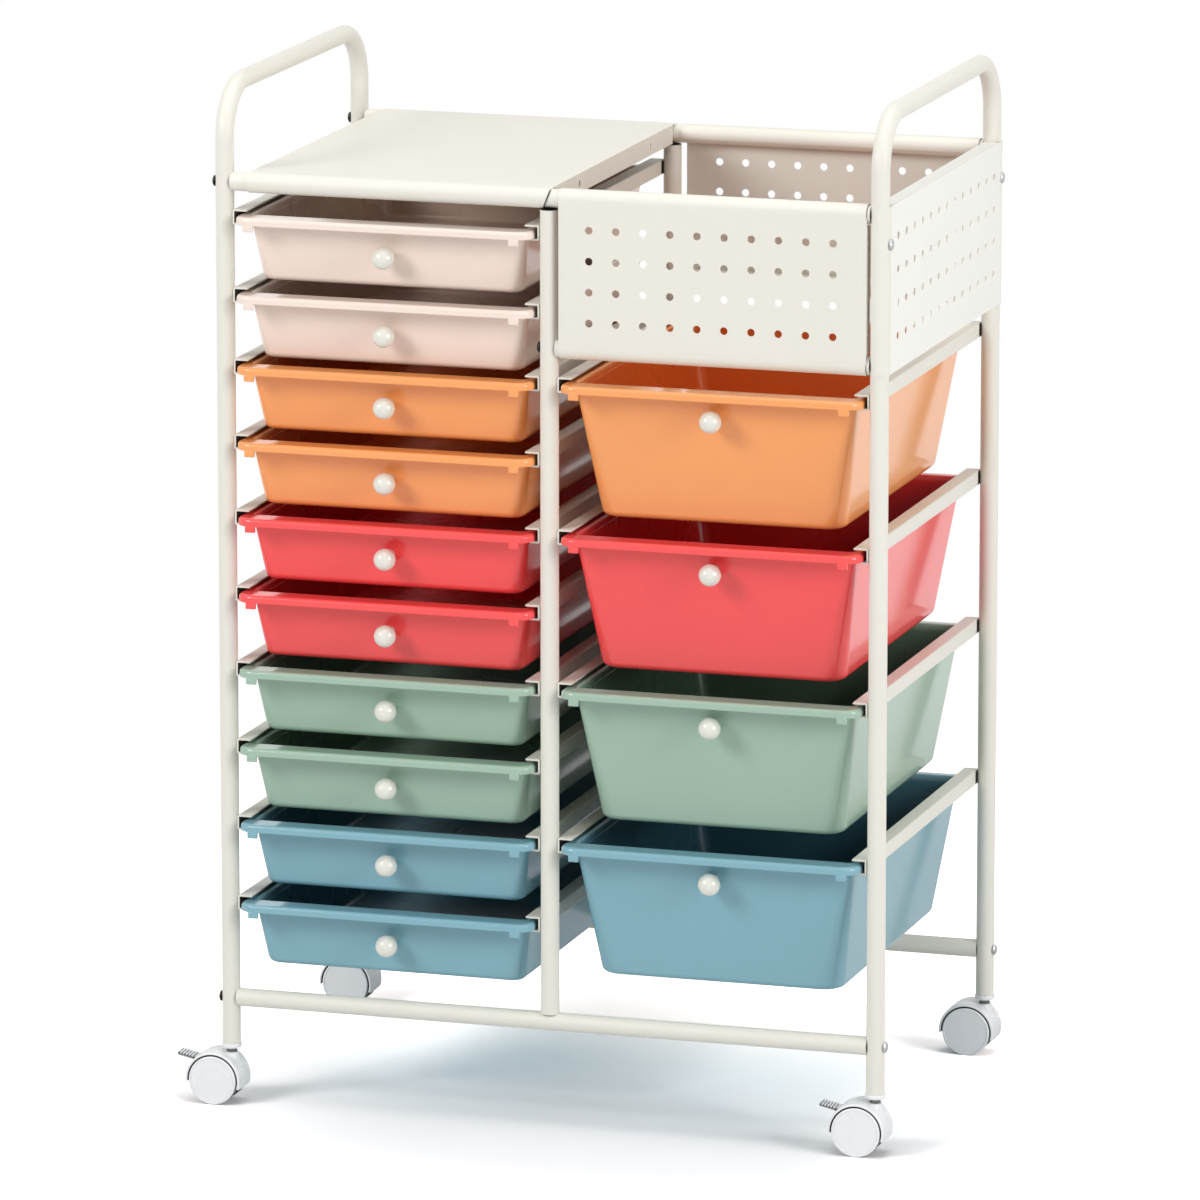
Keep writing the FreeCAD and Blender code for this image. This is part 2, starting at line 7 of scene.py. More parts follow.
import bpy
import numpy as np
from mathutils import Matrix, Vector


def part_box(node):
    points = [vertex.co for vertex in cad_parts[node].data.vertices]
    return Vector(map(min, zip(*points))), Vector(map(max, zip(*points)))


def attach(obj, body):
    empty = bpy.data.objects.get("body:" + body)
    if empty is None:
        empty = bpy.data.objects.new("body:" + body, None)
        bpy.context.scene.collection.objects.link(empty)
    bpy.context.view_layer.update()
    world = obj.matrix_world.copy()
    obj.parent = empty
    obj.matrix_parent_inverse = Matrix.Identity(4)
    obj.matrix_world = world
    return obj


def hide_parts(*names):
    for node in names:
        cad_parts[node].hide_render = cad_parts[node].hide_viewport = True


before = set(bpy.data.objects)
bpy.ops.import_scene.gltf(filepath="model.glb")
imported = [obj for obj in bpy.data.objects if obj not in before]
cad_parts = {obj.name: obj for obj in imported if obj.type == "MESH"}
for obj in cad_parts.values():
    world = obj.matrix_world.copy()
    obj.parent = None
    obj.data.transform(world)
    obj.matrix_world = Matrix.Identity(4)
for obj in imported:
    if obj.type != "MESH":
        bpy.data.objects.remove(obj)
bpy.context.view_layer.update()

MM = 0.001


def reach(node):
    """Lowest and highest corner of a CAD node, in millimetres."""
    low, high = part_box(node)
    return np.array(low) / MM, np.array(high) / MM


# Tube frame, as it is packed. A cross tube sinks a little into its posts. The top and basket tubes' right
# ends and the middle posts' tops are painted in shade.
left_low, left_high = reach("left_side_frame")
right_low = reach("right_side_frame")[0]
middle_low = reach("middle_posts")[0]
bottom_low = reach("bottom_tubes")[0]
top_low = reach("top_tubes")[0]
panel_low = reach("panel_tubes")[0]
tube_radius = (left_high[0] - left_low[0]) / 2
tube_wall = 1.2
left_x = left_low[0] + tube_radius
right_x = right_low[0] + tube_radius
middle_x = middle_low[0] + tube_radius
front_y = left_low[1] + tube_radius
rear_y = left_high[1] - tube_radius
foot_z = left_low[2]
handle_z = left_high[2] - tube_radius
handle_bend = 50.0
bottom_z = bottom_low[2] + tube_radius
top_z = top_low[2] + tube_radius
panel_z = panel_low[2] + tube_radius
tube_sides = 48
bend_steps = 25
tube_sink = 1.4
tube_shaded_end = 0.6
tube_shade_fade = 0.3
post_shaded_end = 0.3
post_top_gap = 0.6

# Sheet metal. A folded edge is a little thinner, so that no two faces lie in one plane.
sheet = 1.0
folded_sheet = sheet * 0.98
rolled = tube_radius + sheet / 2
roll_steps = 24
shelf_front_roll_end = 315.0
shelf_rear_roll_end = -135.0
shelf_roll_steps = 30
shelf_flange_height = 17.0
shelf_slot_height = 6.0
shelf_slot_width = 4.6
shelf_end_cut = 7.0
shelf_slot_spread = 218.0
slot_squareness = 0.6
hole_radius = 3.6
hole_cuts = 6
panel_hole_columns = 10
hole_rows = 4
panel_pitch_x = 25.4
panel_pitch_z = 28.3
front_hole_first_x = 40.1
rear_hole_first_x = 43.5
panel_hole_drop = 26.5
panel_roll_past_back = 22.5
panel_end_gap = 1.0
panel_end_shade = 0.8
panel_flange_depth = 12.0
small_hole_cell = 8.0
flange_hole_radius = 2.4
side_panel_wrap = 135.0
side_wrap_steps = 18
side_panel_lip = 15.0
side_lip_fold = 1.2
side_panel_trim = 4.8
side_panel_rise = 2.2
side_hole_columns = 13
side_pitch_y = 27.55
side_pitch_z = 30.4
side_hole_drop = 22.0

# Rails, with round folds, open towards the drawers
rail_width = 13.6
rail_gap = 10.9
rail_steel = 1.6
rail_fold = 1.5
rail_inner_fold = 0.4
rail_edge = 0.25
rail_front_reach = 4.0
rail_rear_reach = 1.5
rail_shaded_end = 10.0
rail_shade_fade = 0.4

# Drawers. Below its lip the inside fades to a darker colour, a painted shade.
rim_lift = 0.3
rim_height = 7.3
rim_corner = 15.0
rim_top_edge = 3.2
rim_top_width = 5.5
rim_under_edge = 0.8
rim_lip_edge = 2.2
side_ledge = 10.0
front_ledge = 22.5
rear_ledge = 11.0
body_corner = 7.0
body_corner_growth = 0.11
body_head_round = 1.2
least_corner = 3.0
floor_round = 6.0
floor_run = 60.0
drawer_wall = 2.0
ledge_step = 0.6
lip_bright_height = 1.5
lip_fade_height = 5.0
draft = math.tan(math.radians(8.0))
tab_width = 9.6
tab_drop = 5.5
tab_depth = 3.0
tab_inset = 10.5
tab_edge = 0.7

# Knobs and bolts. A screw is a profile of (radius, distance).
knob_radius = 10.2
knob_neck_radius = 4.5
knob_neck_length = 5.5
knob_neck_angle = -63.0
knob_ring_angle = 48.0
knob_ring_step = 0.35
knob_screw = ((3.6, 0.0), (3.6, 0.7), (3.1, 1.4), (2.0, 1.9), (0.9, 2.0))
shallow_knob_drop = 32.0
deep_knob_drop = 27.0
bolt_radius = 5.2
bolt_height = 2.8
bolt_rim = 0.6
bolt_dome_angle = 62.0
bolt_dip_radius = 1.8
black_bolt_dip = 1.5
plated_bolt_dip = 0.3
side_panel_bolt_drop = 26.5

# Casters, plugs and stems. A hood starts and ends at angles about its axle.
wheel_radius = 23.0
wheel_width = 11.0
web_width = 12.0
wheel_side_gap = 0.5
wheel_edge = 1.6
wheel_bore = 3.0
wheel_groove = 0.6
wheel_dome = 0.35
axle_radius = 2.95
caster_trail = 14.0
hood_inner = 24.4
hood_outer = 27.2
hood_width = 33.0
hood_start = -16.0
hood_end = 185.0
hood_edge = 1.6
hood_steps = 61
hood_top_z = 48.3
neck_radius = 6.5
neck_straight = 1.5
neck_flare = 6.5
fender_inset = 0.2
stem_radius = 4.0
stem_low_z = 31.0
stem_high_z = 75.0
collar_radius = 5.2
collar_gap = 0.3
collar_height = 2.6
collar_ring = 1.5
small_edge = 0.3
plug_radius = 9.3
plug_flange = 4.3
lever_pivot_angle = 138.0
lever_rise = 11.0
lever_length = 19.0
lever_width = 15.0
lever_thickness = 3.0
lever_hub = 2.2
lever_ribs = 6
lever_rib_height = 1.1
lever_groove = 2.6
lever_pitch = 2.85
lever_tip_rounds = (1.9, 2.0)

# Finishes: the depth of each fine relief, in metres
peel_depth = 0.00002
flow_depth = 0.00001
grain_depth = 0.00001

# Studio, in metres. Around the cart the camera sees the floor as pool_shade, a painted shadow pool; past
# pool_fade times its reach it is floor_shine, painted light brighter than white, and past blank_fade it is
# plain white. Rays that light the cart see floor_matt.
floor_half = 6.0
room_light = 0.33
pool_centre = (0.08, -0.24, 0.0)
pool_reach = (0.68, 0.3, 1.0)
pool_fade = (0.25, 1.35)
blank_fade = (0.8, 1.7)
pool_shade = (1.0, 0.99, 1.0)
floor_shine = (2.35, 2.22, 2.18)
floor_matt = (0.86, 0.87, 0.89)
lamp_target = Vector((0.0, 0.0, 0.45))
lamps = (
    ("key_softbox", (-2.4, -3.0, 2.6), 92.0, 1.6),
    ("right_softbox", (3.2, -1.2, 1.6), 60.0, 1.6),
    ("top_softbox", (0.2, -0.2, 3.2), 31.0, 1.8),
)

# Camera, aimed at camera_target from the distance in metres
camera_azimuth = math.radians(17.34)
camera_elevation = math.radians(11.99)
camera_distance = 8.915
camera_lens = 287.9
camera_target = Vector(((left_x + right_x) / 2 - 11.8, (front_y + rear_y) / 2, 456.5)) * MM


def closed_rings(rows, count, hollow):
    """Quads between rings of equally many points, row after row. A hollow set joins its last ring to its
    first, and any other is closed by its two end rings as flat caps."""
    row = np.arange(rows if hollow else rows - 1)[:, None]
    place = np.arange(count)[None, :]
    after = (place + 1) % count
    above = (row + 1) % rows
    corners = (row * count + place, row * count + after, above * count + after, above * count + place)
    quads = np.stack(np.broadcast_arrays(*corners), -1).reshape(-1, 4)
    if hollow:
        return [quads]
    return [quads, np.arange(count)[::-1][None, :], (rows - 1) * count + np.arange(count)[None, :]]


def enclosed(points, faces):
    """Six times the volume inside the faces, from fans of triangles: a sum of corner . (next x after)."""
    total = 0.0
    for group in faces:
        first = points[group[:, 0]]
        for k in range(1, group.shape[1] - 1):
            total += np.einsum("ij,ij->", first, np.cross(points[group[:, k]], points[group[:, k + 1]]))
    return total


class Skin:
    """Closed surfaces gathered into one mesh. Each point's share of painted shade, from 0 to 1, is how far
    it takes its material's deep colour, which paints in shade."""

    def __init__(self):
        self.points = []
        self.faces = []
        self.painted_shades = []
        self.count = 0

    def add(self, points, faces, painted_shade_and_dip=0.0):
        """A closed surface, turned so that its faces point outwards."""
        points = np.asarray(points, float).reshape(-1, 3)
        self.painted_shades.append(np.broadcast_to(painted_shade_and_dip, len(points)))
        if enclosed(points - points.mean(0), faces) < 0:
            faces = [group[:, ::-1] for group in faces]
        self.points.append(points)
        self.faces += [group + self.count for group in faces]
        self.count += len(points)
        return self

    def rings(self, rings, hollow=False, painted_shade_and_dip=0.0):
        """A closed surface through rings given as an array (rings, points, 3). Its share of painted shade
        has one value, or an array that spreads over (rings, points)."""
        rings = np.asarray(rings, float)
        share = np.broadcast_to(painted_shade_and_dip, rings.shape[:2]).ravel()
        return self.add(rings, closed_rings(rings.shape[0], rings.shape[1], hollow), share)

    def piece(self, name, node=None, body="cart_frame", slot="ivory_paint", material=None, crease=40.0):
        """The mesh in metres, in place of a CAD node, smooth but for edges that turn by more than the
        crease angle. Its material is its slot's, unless it has one of its own."""
        mesh = bpy.data.meshes.new(name)
        faces = [face for group in self.faces for face in group.tolist()]
        mesh.from_pydata((np.concatenate(self.points) * MM).tolist(), [], faces)
        mesh.polygons.foreach_set("use_smooth", np.ones(len(faces), bool))
        mesh.set_sharp_from_angle(angle=math.radians(crease))
        # The share of painted shade goes on the mesh as a point attribute.
        painted_shade_and_dip = np.concatenate(self.painted_shades).astype(np.float32)
        if painted_shade_and_dip.any():
            mesh.attributes.new("painted_shade_and_dip", "FLOAT", "POINT").data.foreach_set("value", painted_shade_and_dip)
        mesh.materials.append(material or finishes[slot])
        mesh.update()
        made = bpy.data.objects.new(name, mesh)
        bpy.context.scene.collection.objects.link(made)
        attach(made, body)
        if node:
            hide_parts(node)


def unit(vector):
    """The vector at length one."""
    return np.asarray(vector, float) / np.linalg.norm(vector)


def rounded(corners, radii, closed=False, steps=6, lead=0.5):
    """A flat outline whose corners are arcs that touch both straight runs.

    Each arc is centre + (sin((1-s)t) a + sin(s t) b) / sin t, from its start a to its end b over the turn
    t, and a point just outside each end keeps the straight runs flat in the shading."""
    corners = np.asarray(corners, float)
    count = len(corners)
    outline = []
    for k, radius in enumerate(radii):
        here = corners[k]
        if radius == 0 or (not closed and k in (0, count - 1)):
            outline.append(here[None, :])
            continue
        back = unit(corners[k - 1] - here)
        ahead = unit(corners[(k + 1) % count] - here)
        between = math.acos(np.clip(back @ ahead, -1, 1))
        touch = radius / math.tan(between / 2)
        centre = here + unit(back + ahead) * radius / math.sin(between / 2)
        turn = math.pi - between
        share = np.linspace(0, 1, steps + 1)[:, None]
        start = here + back * touch - centre
        end = here + ahead * touch - centre
        arc = centre + (np.sin((1 - share) * turn) * start + np.sin(share * turn) * end) / math.sin(turn)
        outline += [(here + back * (touch + lead))[None, :], arc, (here + ahead * (touch + lead))[None, :]]
    return np.concatenate(outline)


def turned(profile, base, axis, sides=40):
    """Rings of radius r at distance d along the axis from the base, for each (r, d) of the profile."""
    profile = np.asarray(profile, float)
    axis = unit(axis)
    helper = np.array([0.0, 0.0, 1.0]) if abs(axis[2]) < 0.9 else np.array([1.0, 0.0, 0.0])
    across = unit(np.cross(helper, axis))
    up = np.cross(axis, across)
    turn = 2 * np.pi * np.arange(sides) / sides
    rim = np.cos(turn)[:, None] * across + np.sin(turn)[:, None] * up
    along = np.asarray(base, float) + profile[:, 1, None] * axis
    return along[:, None, :] + profile[:, 0, None, None] * rim[None]


def tube_rings(centres, radius, across, outs):
    """Circles of the radius about each centre, in the plane of across and that centre's outward step."""
    turn = 2 * np.pi * np.arange(tube_sides) / tube_sides
    centres = np.asarray(centres, float)
    outs = np.broadcast_to(np.asarray(outs, float), centres.shape)[:, None, :]
    sweep = np.cos(turn)[None, :, None] * np.asarray(across, float) + np.sin(turn)[None, :, None] * outs
    return centres[:, None, :] + radius * sweep


def add_tube(skin, start, end, across, up, shaded=0.0):
    """A tube wall between two points: circles along its outside, the last stretch painted in shade, and back
    through its bore."""
    start = np.array(start, float)
    end = np.array(end, float)
    along = unit(end - start)
    stops = [start, end - along * (shaded + tube_shade_fade), end - along * shaded, end]
    outer = tube_rings(stops, tube_radius, across, up)
    inner = tube_rings([end, start], tube_radius - tube_wall, across, up)
    painted_shade_and_dip = np.array([0, 0, 1, 1, 1, 0]) * (shaded > 0)
    skin.rings(np.concatenate([outer, inner]), hollow=True, painted_shade_and_dip=painted_shade_and_dip[:, None])


def side_tube(x):
    """The bent side tube: up from the front foot, round a quarter circle, back along the handle, round
    another and down, with a bore up each leg."""
    bend_z = handle_z - handle_bend
    bore = tube_radius - tube_wall
    across = (1, 0, 0)
    centres = []
    outs = []
    for centre_y, start in ((front_y + handle_bend, 180.0), (rear_y - handle_bend, 90.0)):
        angle = np.radians(np.linspace(start, start - 90.0, bend_steps))
        out = np.stack([np.zeros(bend_steps), np.cos(angle), np.sin(angle)], -1)
        centres.append(np.array([x, centre_y, bend_z]) + out * handle_bend)
        outs.append(out)
    front_leg = [(x, front_y, bend_z), (x, front_y, foot_z)]
    rear_leg = [(x, rear_y, foot_z), (x, rear_y, bend_z)]
    return np.concatenate([
        tube_rings(front_leg, bore, across, (0, -1, 0)),
        tube_rings(front_leg[1:], tube_radius, across, (0, -1, 0)),
        tube_rings(np.concatenate(centres), tube_radius, across, np.concatenate(outs)),
        tube_rings(rear_leg[:1], tube_radius, across, (0, 1, 0)),
        tube_rings(rear_leg, bore, across, (0, 1, 0)),
    ])


def rounded_block(low, high, edge):
    """A block with rounded edges: rounded rectangles stacked upwards, each drawn in by
    edge (1 - sin a) where the stack has climbed by edge (1 - cos a)."""
    height = high[2] - low[2]
    tilt = np.linspace(0, np.pi / 2, 4)
    climb = edge * (1 - np.cos(tilt))
    drawn = edge * (1 - np.sin(tilt))
    drawn = np.concatenate([drawn, drawn[::-1]])
    rise = np.concatenate([climb, height - climb[::-1]])
    return rectangle_rings(
        low[0] + drawn, high[0] - drawn, low[1] + drawn, high[1] - drawn,
        edge - drawn + 0.02, low[2] + rise, steps=3, lead=0.05,
    )


def rectangle_rings(x0, x1, y0, y1, radius, z, steps=8, lead=0.6):
    """Rounded rectangles, one for each entry of the arrays: corner centre + radius (cos a, sin a), with a
    point just outside each end of each arc, moved along the side by the lead."""
    given = [np.asarray(value, float) for value in (x0, x1, y0, y1, radius, z)]
    x0, x1, y0, y1, radius, z = np.broadcast_arrays(*given)
    quarter = np.concatenate([[0.0], np.linspace(0, 90, steps + 1), [90.0]])
    slide = np.concatenate([[-lead], np.zeros(steps + 1), [lead]])
    parts = []
    for start, at_x, at_y in ((-90, x1 - radius, y0 + radius), (0, x1 - radius, y1 - radius),
                              (90, x0 + radius, y1 - radius), (180, x0 + radius, y0 + radius)):
        angle = np.radians(start + quarter)
        px = at_x[:, None] + radius[:, None] * np.cos(angle) - slide * np.sin(angle)
        py = at_y[:, None] + radius[:, None] * np.sin(angle) + slide * np.cos(angle)
        parts.append(np.stack([px, py, np.broadcast_to(z[:, None], px.shape)], -1))
    return np.concatenate(parts, 1)


def drawer_tray(low, high):
    """The tray's skin: rounded rectangles up the outside, round the rim and down the inside, where a
    narrow ledge runs round at the rim's foot. Each ring also has its share of painted shade, 1 inside the
    drawer.

    Each section lists (d, z), and its ring at the height z is the body's or the rim's rectangle moved out
    by d. The body's corner radius is corner + growth h + (d + h tan(draft)), where h is the depth under
    the rim, and the rim's is corner + d."""
    centre_x = (low[0] + high[0]) / 2
    rim_half = (high[0] - low[0]) / 2
    rim_top = high[2]
    rim_z = rim_top - rim_height
    floor_z = low[2]
    fall = rim_z - floor_z
    body = (rim_half - side_ledge, low[1] + front_ledge, high[1] - rear_ledge)
    rim = (rim_half, low[1], high[1])
    inner_floor = floor_z + drawer_wall
    inner_top = rim_height * draft - drawer_wall
    inner_ledge = inner_top - rim_height * draft
    inner_foot = inner_ledge - ledge_step - (rim_z - inner_floor) * draft
    outside = rounded(
        [(-floor_run, floor_z), (-fall * draft, floor_z), (0, rim_z), (3, rim_z)],
        (0, floor_round, body_head_round, 0),
    )
    edge = rounded(
        [(-3, rim_z), (0, rim_z), (-0.2, rim_top), (-rim_top_width, rim_top)],
        (0, rim_under_edge, rim_top_edge, 0), lead=0.2,
    )
    inner = rounded(
        [(1.6, rim_top), (inner_top, rim_top), (inner_ledge, rim_z), (inner_ledge - ledge_step, rim_z),
         (inner_foot, inner_floor), (-floor_run, inner_floor)],
        (0, rim_lip_edge, 0.1, 0.3, floor_round - drawer_wall, 0), lead=0.12,
    )
    rows = []
    shares = []
    for outline, (half, y0, y1), corner, growth in (
            (outside, body, body_corner, body_corner_growth), (edge, rim, rim_corner, None),
            (inner, body, body_corner, body_corner_growth)):
        out, z = outline[:, 0], outline[:, 1]
        radius = corner + out
        if growth is not None:
            radius = radius + (rim_z - z) * (draft + growth)
        rows.append(rectangle_rings(
            centre_x - half - out, centre_x + half + out, y0 - out, y1 + out,
            np.maximum(radius, least_corner), z
        ))
        # Below the lip's top the inside fades into painted shade.
        shaded = np.clip((rim_top - lip_bright_height - z) / lip_fade_height, 0, 1)
        shares.append(shaded * (outline is inner))
    return np.concatenate(rows), np.concatenate(shares)


def drawer_piece(name, slot):
    """A tray with the two square tabs under its front corners."""
    low, high = reach(name)
    rings, painted_shade_and_dip = drawer_tray(low, high)
    skin = Skin().rings(rings, painted_shade_and_dip=painted_shade_and_dip[:, None])
    rim_z = high[2] - rim_height
    for x0 in (low[0] + tab_inset, high[0] - tab_inset - tab_width):
        tab_low = (x0, low[1], rim_z - tab_drop)
        tab_high = (x0 + tab_width, low[1] + tab_depth, rim_z + 1.0)
        skin.rings(rounded_block(tab_low, tab_high, tab_edge))
    skin.piece(name + "_tray", name, name, slot)


def knob_piece(name, drop):
    """A ball knob on its neck, square to the drawer's sloping front: the ball's profile is a circle whose
    front is a flatter dome inside a faint ring. Its screw head sits on the wall's inside."""
    low, high = reach(name)
    rim_z = high[2] - rim_height
    tilt = math.atan(draft)
    seat = drop - rim_height - (knob_neck_length + knob_radius) * math.sin(tilt)
    base = np.array([(low[0] + high[0]) / 2, low[1] + front_ledge + seat * draft, rim_z - seat])
    axis = np.array([0.0, -math.cos(tilt), -math.sin(tilt)])
    centre = knob_neck_length + knob_radius
    angle = np.radians(np.linspace(knob_neck_angle, knob_ring_angle, 22))
    ball = np.stack([knob_radius * np.cos(angle), centre + knob_radius * np.sin(angle)], -1)
    edge_r, edge_d = ball[-1]
    share = np.linspace(0, 1, 10)[1:]
    face_r = edge_r * (1 - share) * 0.985 + 0.05 * share
    ring_d = edge_d + knob_ring_step
    face_d = ring_d + (knob_radius * 2 + knob_neck_length - edge_d - knob_ring_step) * (1 - (1 - share) ** 2)
    face = np.stack([face_r, face_d], -1)
    neck = np.array([(knob_neck_radius, 0.0), (knob_neck_radius, knob_neck_length - 1.0)])
    skin = Skin().rings(turned(np.concatenate([neck, ball, face]), base, axis, 48))
    skin.piece(name + "_ball_knob", name + "_knob", name, "knob_plastic", crease=50.0)
    head = turned(knob_screw, base - axis * drawer_wall, -axis, 24)
    Skin().rings(head).piece(name + "_knob_screw", None, name, "stem_steel", finishes["bolt_plated"])


def rail_outline():
    """The rail's section, open to +X, with rounded folds."""
    low = -rail_gap - rail_steel
    corners = [
        (0.0, rail_steel), (rail_width, rail_steel), (rail_width, 0.0), (rail_steel, 0.0),
        (rail_steel, -rail_gap), (rail_width, -rail_gap), (rail_width, low), (0.0, low),
    ]
    radii = (rail_fold, rail_edge, rail_edge, rail_inner_fold)
    return rounded(corners, radii + radii[::-1], closed=True, steps=4, lead=0.2)


def rails_piece(name, groups):
    """Rails as their section carried along Y. Each group gives the web's x, the side it opens to and the
    heights of its top flanges' undersides. The web's inside and the rear end of its outside are painted in
    shade."""
    outline = rail_outline()
    front = front_y - rail_front_reach
    end = rear_y + rail_rear_reach
    shaded = end - rail_shaded_end
    lengths = np.array([front, front + rail_shade_fade, shaded - rail_shade_fade, shaded, end])
    # Painted shade: the web's inside, and the last stretch of its outside at the rear post.
    between = (outline[:, 1] <= 0) & (outline[:, 1] >= -rail_gap)
    inside = (np.abs(outline[:, 0] - rail_steel) < 0.5) & between
    outside = outline[:, 0] < 0.4
    painted_shade_and_dip = np.array([[0], [1], [1], [1], [1]]) * inside + np.array([[0], [0], [0], [1], [1]]) * outside
    skin = Skin()
    for web_x, opens, rows in groups:
        for row_z in rows:
            rings = np.zeros((len(lengths), len(outline), 3))
            rings[..., 0] = web_x + opens * outline[:, 0]
            rings[..., 1] = lengths[:, None]
            rings[..., 2] = row_z + outline[:, 1]
            skin.rings(rings, painted_shade_and_dip=painted_shade_and_dip)
    skin.piece(name + "_folded", name, crease=35.0)


def arc_rows(centre, start, end, steps):
    """Points and outward directions round a circle of the rolled sheet's middle radius, from one angle to
    another: centre + radius (cos a, sin a)."""
    angle = np.radians(np.linspace(start, end, steps + 1))
    out = np.stack([np.cos(angle), np.sin(angle)], -1)
    return np.asarray(centre, float) + out * rolled, out


def line_rows(values, fixed, out):
    """Points of a flat run at the given heights or lengths, all with the same outward direction."""
    points = np.stack([np.full(len(values), float(fixed)), values], -1)
    return points, np.broadcast_to(np.asarray(out, float), points.shape)


def joined(*runs):
    """Runs of points and outward directions, one after the other."""
    return [np.concatenate(part) for part in zip(*runs)]


def ring_step():
    """Grid steps round the edge of a hole's square block of cells, along its two directions."""
    around = np.arange(hole_cuts)
    full = np.full(hole_cuts, hole_cuts)
    ring_i = np.concatenate([around, full, hole_cuts - around, 0 * full])
    ring_j = np.concatenate([0 * full, around, full, hole_cuts - around])
    return ring_i, ring_j


def sheet_faces(columns, rows, cells):
    """Faces of a sheet's two sides and edges over a grid of columns and rows, with a ring of quads in place
    of each hole's block of cells. Returns the faces and the grid places round each hole."""
    size = columns * rows
    i, j = np.meshgrid(np.arange(columns - 1), np.arange(rows - 1), indexing="ij")
    kept = np.ones(i.shape, bool)
    for first_i, first_j in cells:
        kept[first_i:first_i + hole_cuts, first_j:first_j + hole_cuts] = False
    i, j = i[kept], j[kept]
    quads = np.stack([i * rows + j, (i + 1) * rows + j, (i + 1) * rows + j + 1, i * rows + j + 1], -1)
    faces = [quads, quads[:, ::-1] + size]
    along_i = np.arange(columns - 1)
    along_j = np.arange(rows - 1)
    low_side = np.stack([(along_i + 1) * rows, along_i * rows], -1)
    high_side = np.stack([along_i * rows + rows - 1, (along_i + 1) * rows + rows - 1], -1)
    first_side = np.stack([along_j, along_j + 1], -1)
    last_side = np.stack([(columns - 1) * rows + along_j + 1, (columns - 1) * rows + along_j], -1)
    for edge in (low_side, high_side, first_side, last_side):
        faces.append(np.concatenate([edge, edge[:, ::-1] + size], -1))
    ring_i, ring_j = ring_step()
    holes = [(first_i + ring_i) * rows + first_j + ring_j for first_i, first_j in cells]
    return faces, np.array(holes, int).reshape(-1, 4 * hole_cuts)


def add_sheet(skin, middle, out, cells=(), radius=hole_radius, thick=sheet, painted_shade_and_dip=0.0):
    """A sheet about its middle surface, an array (columns, rows, 3), moved half its thickness each way.

    A hole is a circle about the middle of its block of cells, centre + radius (cos a u + sin a v), joined
    to the block's edge on both sides and through the thickness."""
    columns, rows = middle.shape[:2]
    size = columns * rows
    flat = [(middle + out * half).reshape(-1, 3) for half in (thick / 2, -thick / 2)]
    points = list(flat)
    faces, holes = sheet_faces(columns, rows, cells)
    if len(holes):
        rims = [side[holes] for side in flat]
        u = rims[0][:, hole_cuts] - rims[0][:, 0]
        v = rims[0][:, 3 * hole_cuts] - rims[0][:, 0]
        u /= np.linalg.norm(u, axis=1, keepdims=True)
        v /= np.linalg.norm(v, axis=1, keepdims=True)
        step_i, step_j = ring_step()
        turn = np.arctan2(step_j - hole_cuts / 2, step_i - hole_cuts / 2)[None, :, None]
        circle = radius * (np.cos(turn) * u[:, None] + np.sin(turn) * v[:, None])
        points += [(rim.mean(1, keepdims=True) + circle).reshape(-1, 3) for rim in rims]
        near = 2 * size + np.arange(holes.size).reshape(holes.shape)
        far = near + holes.size
        rim_next, near_next, far_next = (np.roll(row, -1, 1) for row in (holes, near, far))
        faces.append(np.stack([holes, rim_next, near_next, near], -1).reshape(-1, 4))
        faces.append(np.stack([far, far_next, rim_next + size, holes + size], -1).reshape(-1, 4))
        faces.append(np.stack([near, near_next, far_next, far], -1).reshape(-1, 4))
    points = np.concatenate(points)
    share = np.zeros(len(points))
    share[:2 * size] = np.tile(np.broadcast_to(painted_shade_and_dip, (columns, rows)).ravel(), 2)
    return skin.add(points, faces, share)


def hole_lines(first, pitch, count, low, high):
    """Grid lines over a row of holes, several to a pitch, with a few more out to both ends. Returns the
    lines and the place of the first hole's block."""
    block = first - pitch / 2 + np.arange(count * hole_cuts + 1) * pitch / hole_cuts
    before = np.linspace(low, block[0], 4)[:-1]
    after = np.linspace(block[-1], high, 4)[1:]
    return np.concatenate([before, block, after]), len(before)


def swept_sheet(along, points, outs, axis):
    """A sheet's middle surface and outward directions: a flat path carried along an axis, 0, 1 or 2."""
    middle = np.zeros((len(along), len(points), 3))
    out = np.zeros_like(middle)
    middle[..., axis] = np.asarray(along)[:, None]
    for k, spot in enumerate([spot for spot in range(3) if spot != axis]):
        middle[..., spot] = points[:, k]
        out[..., spot] = outs[:, k]
    return middle, out


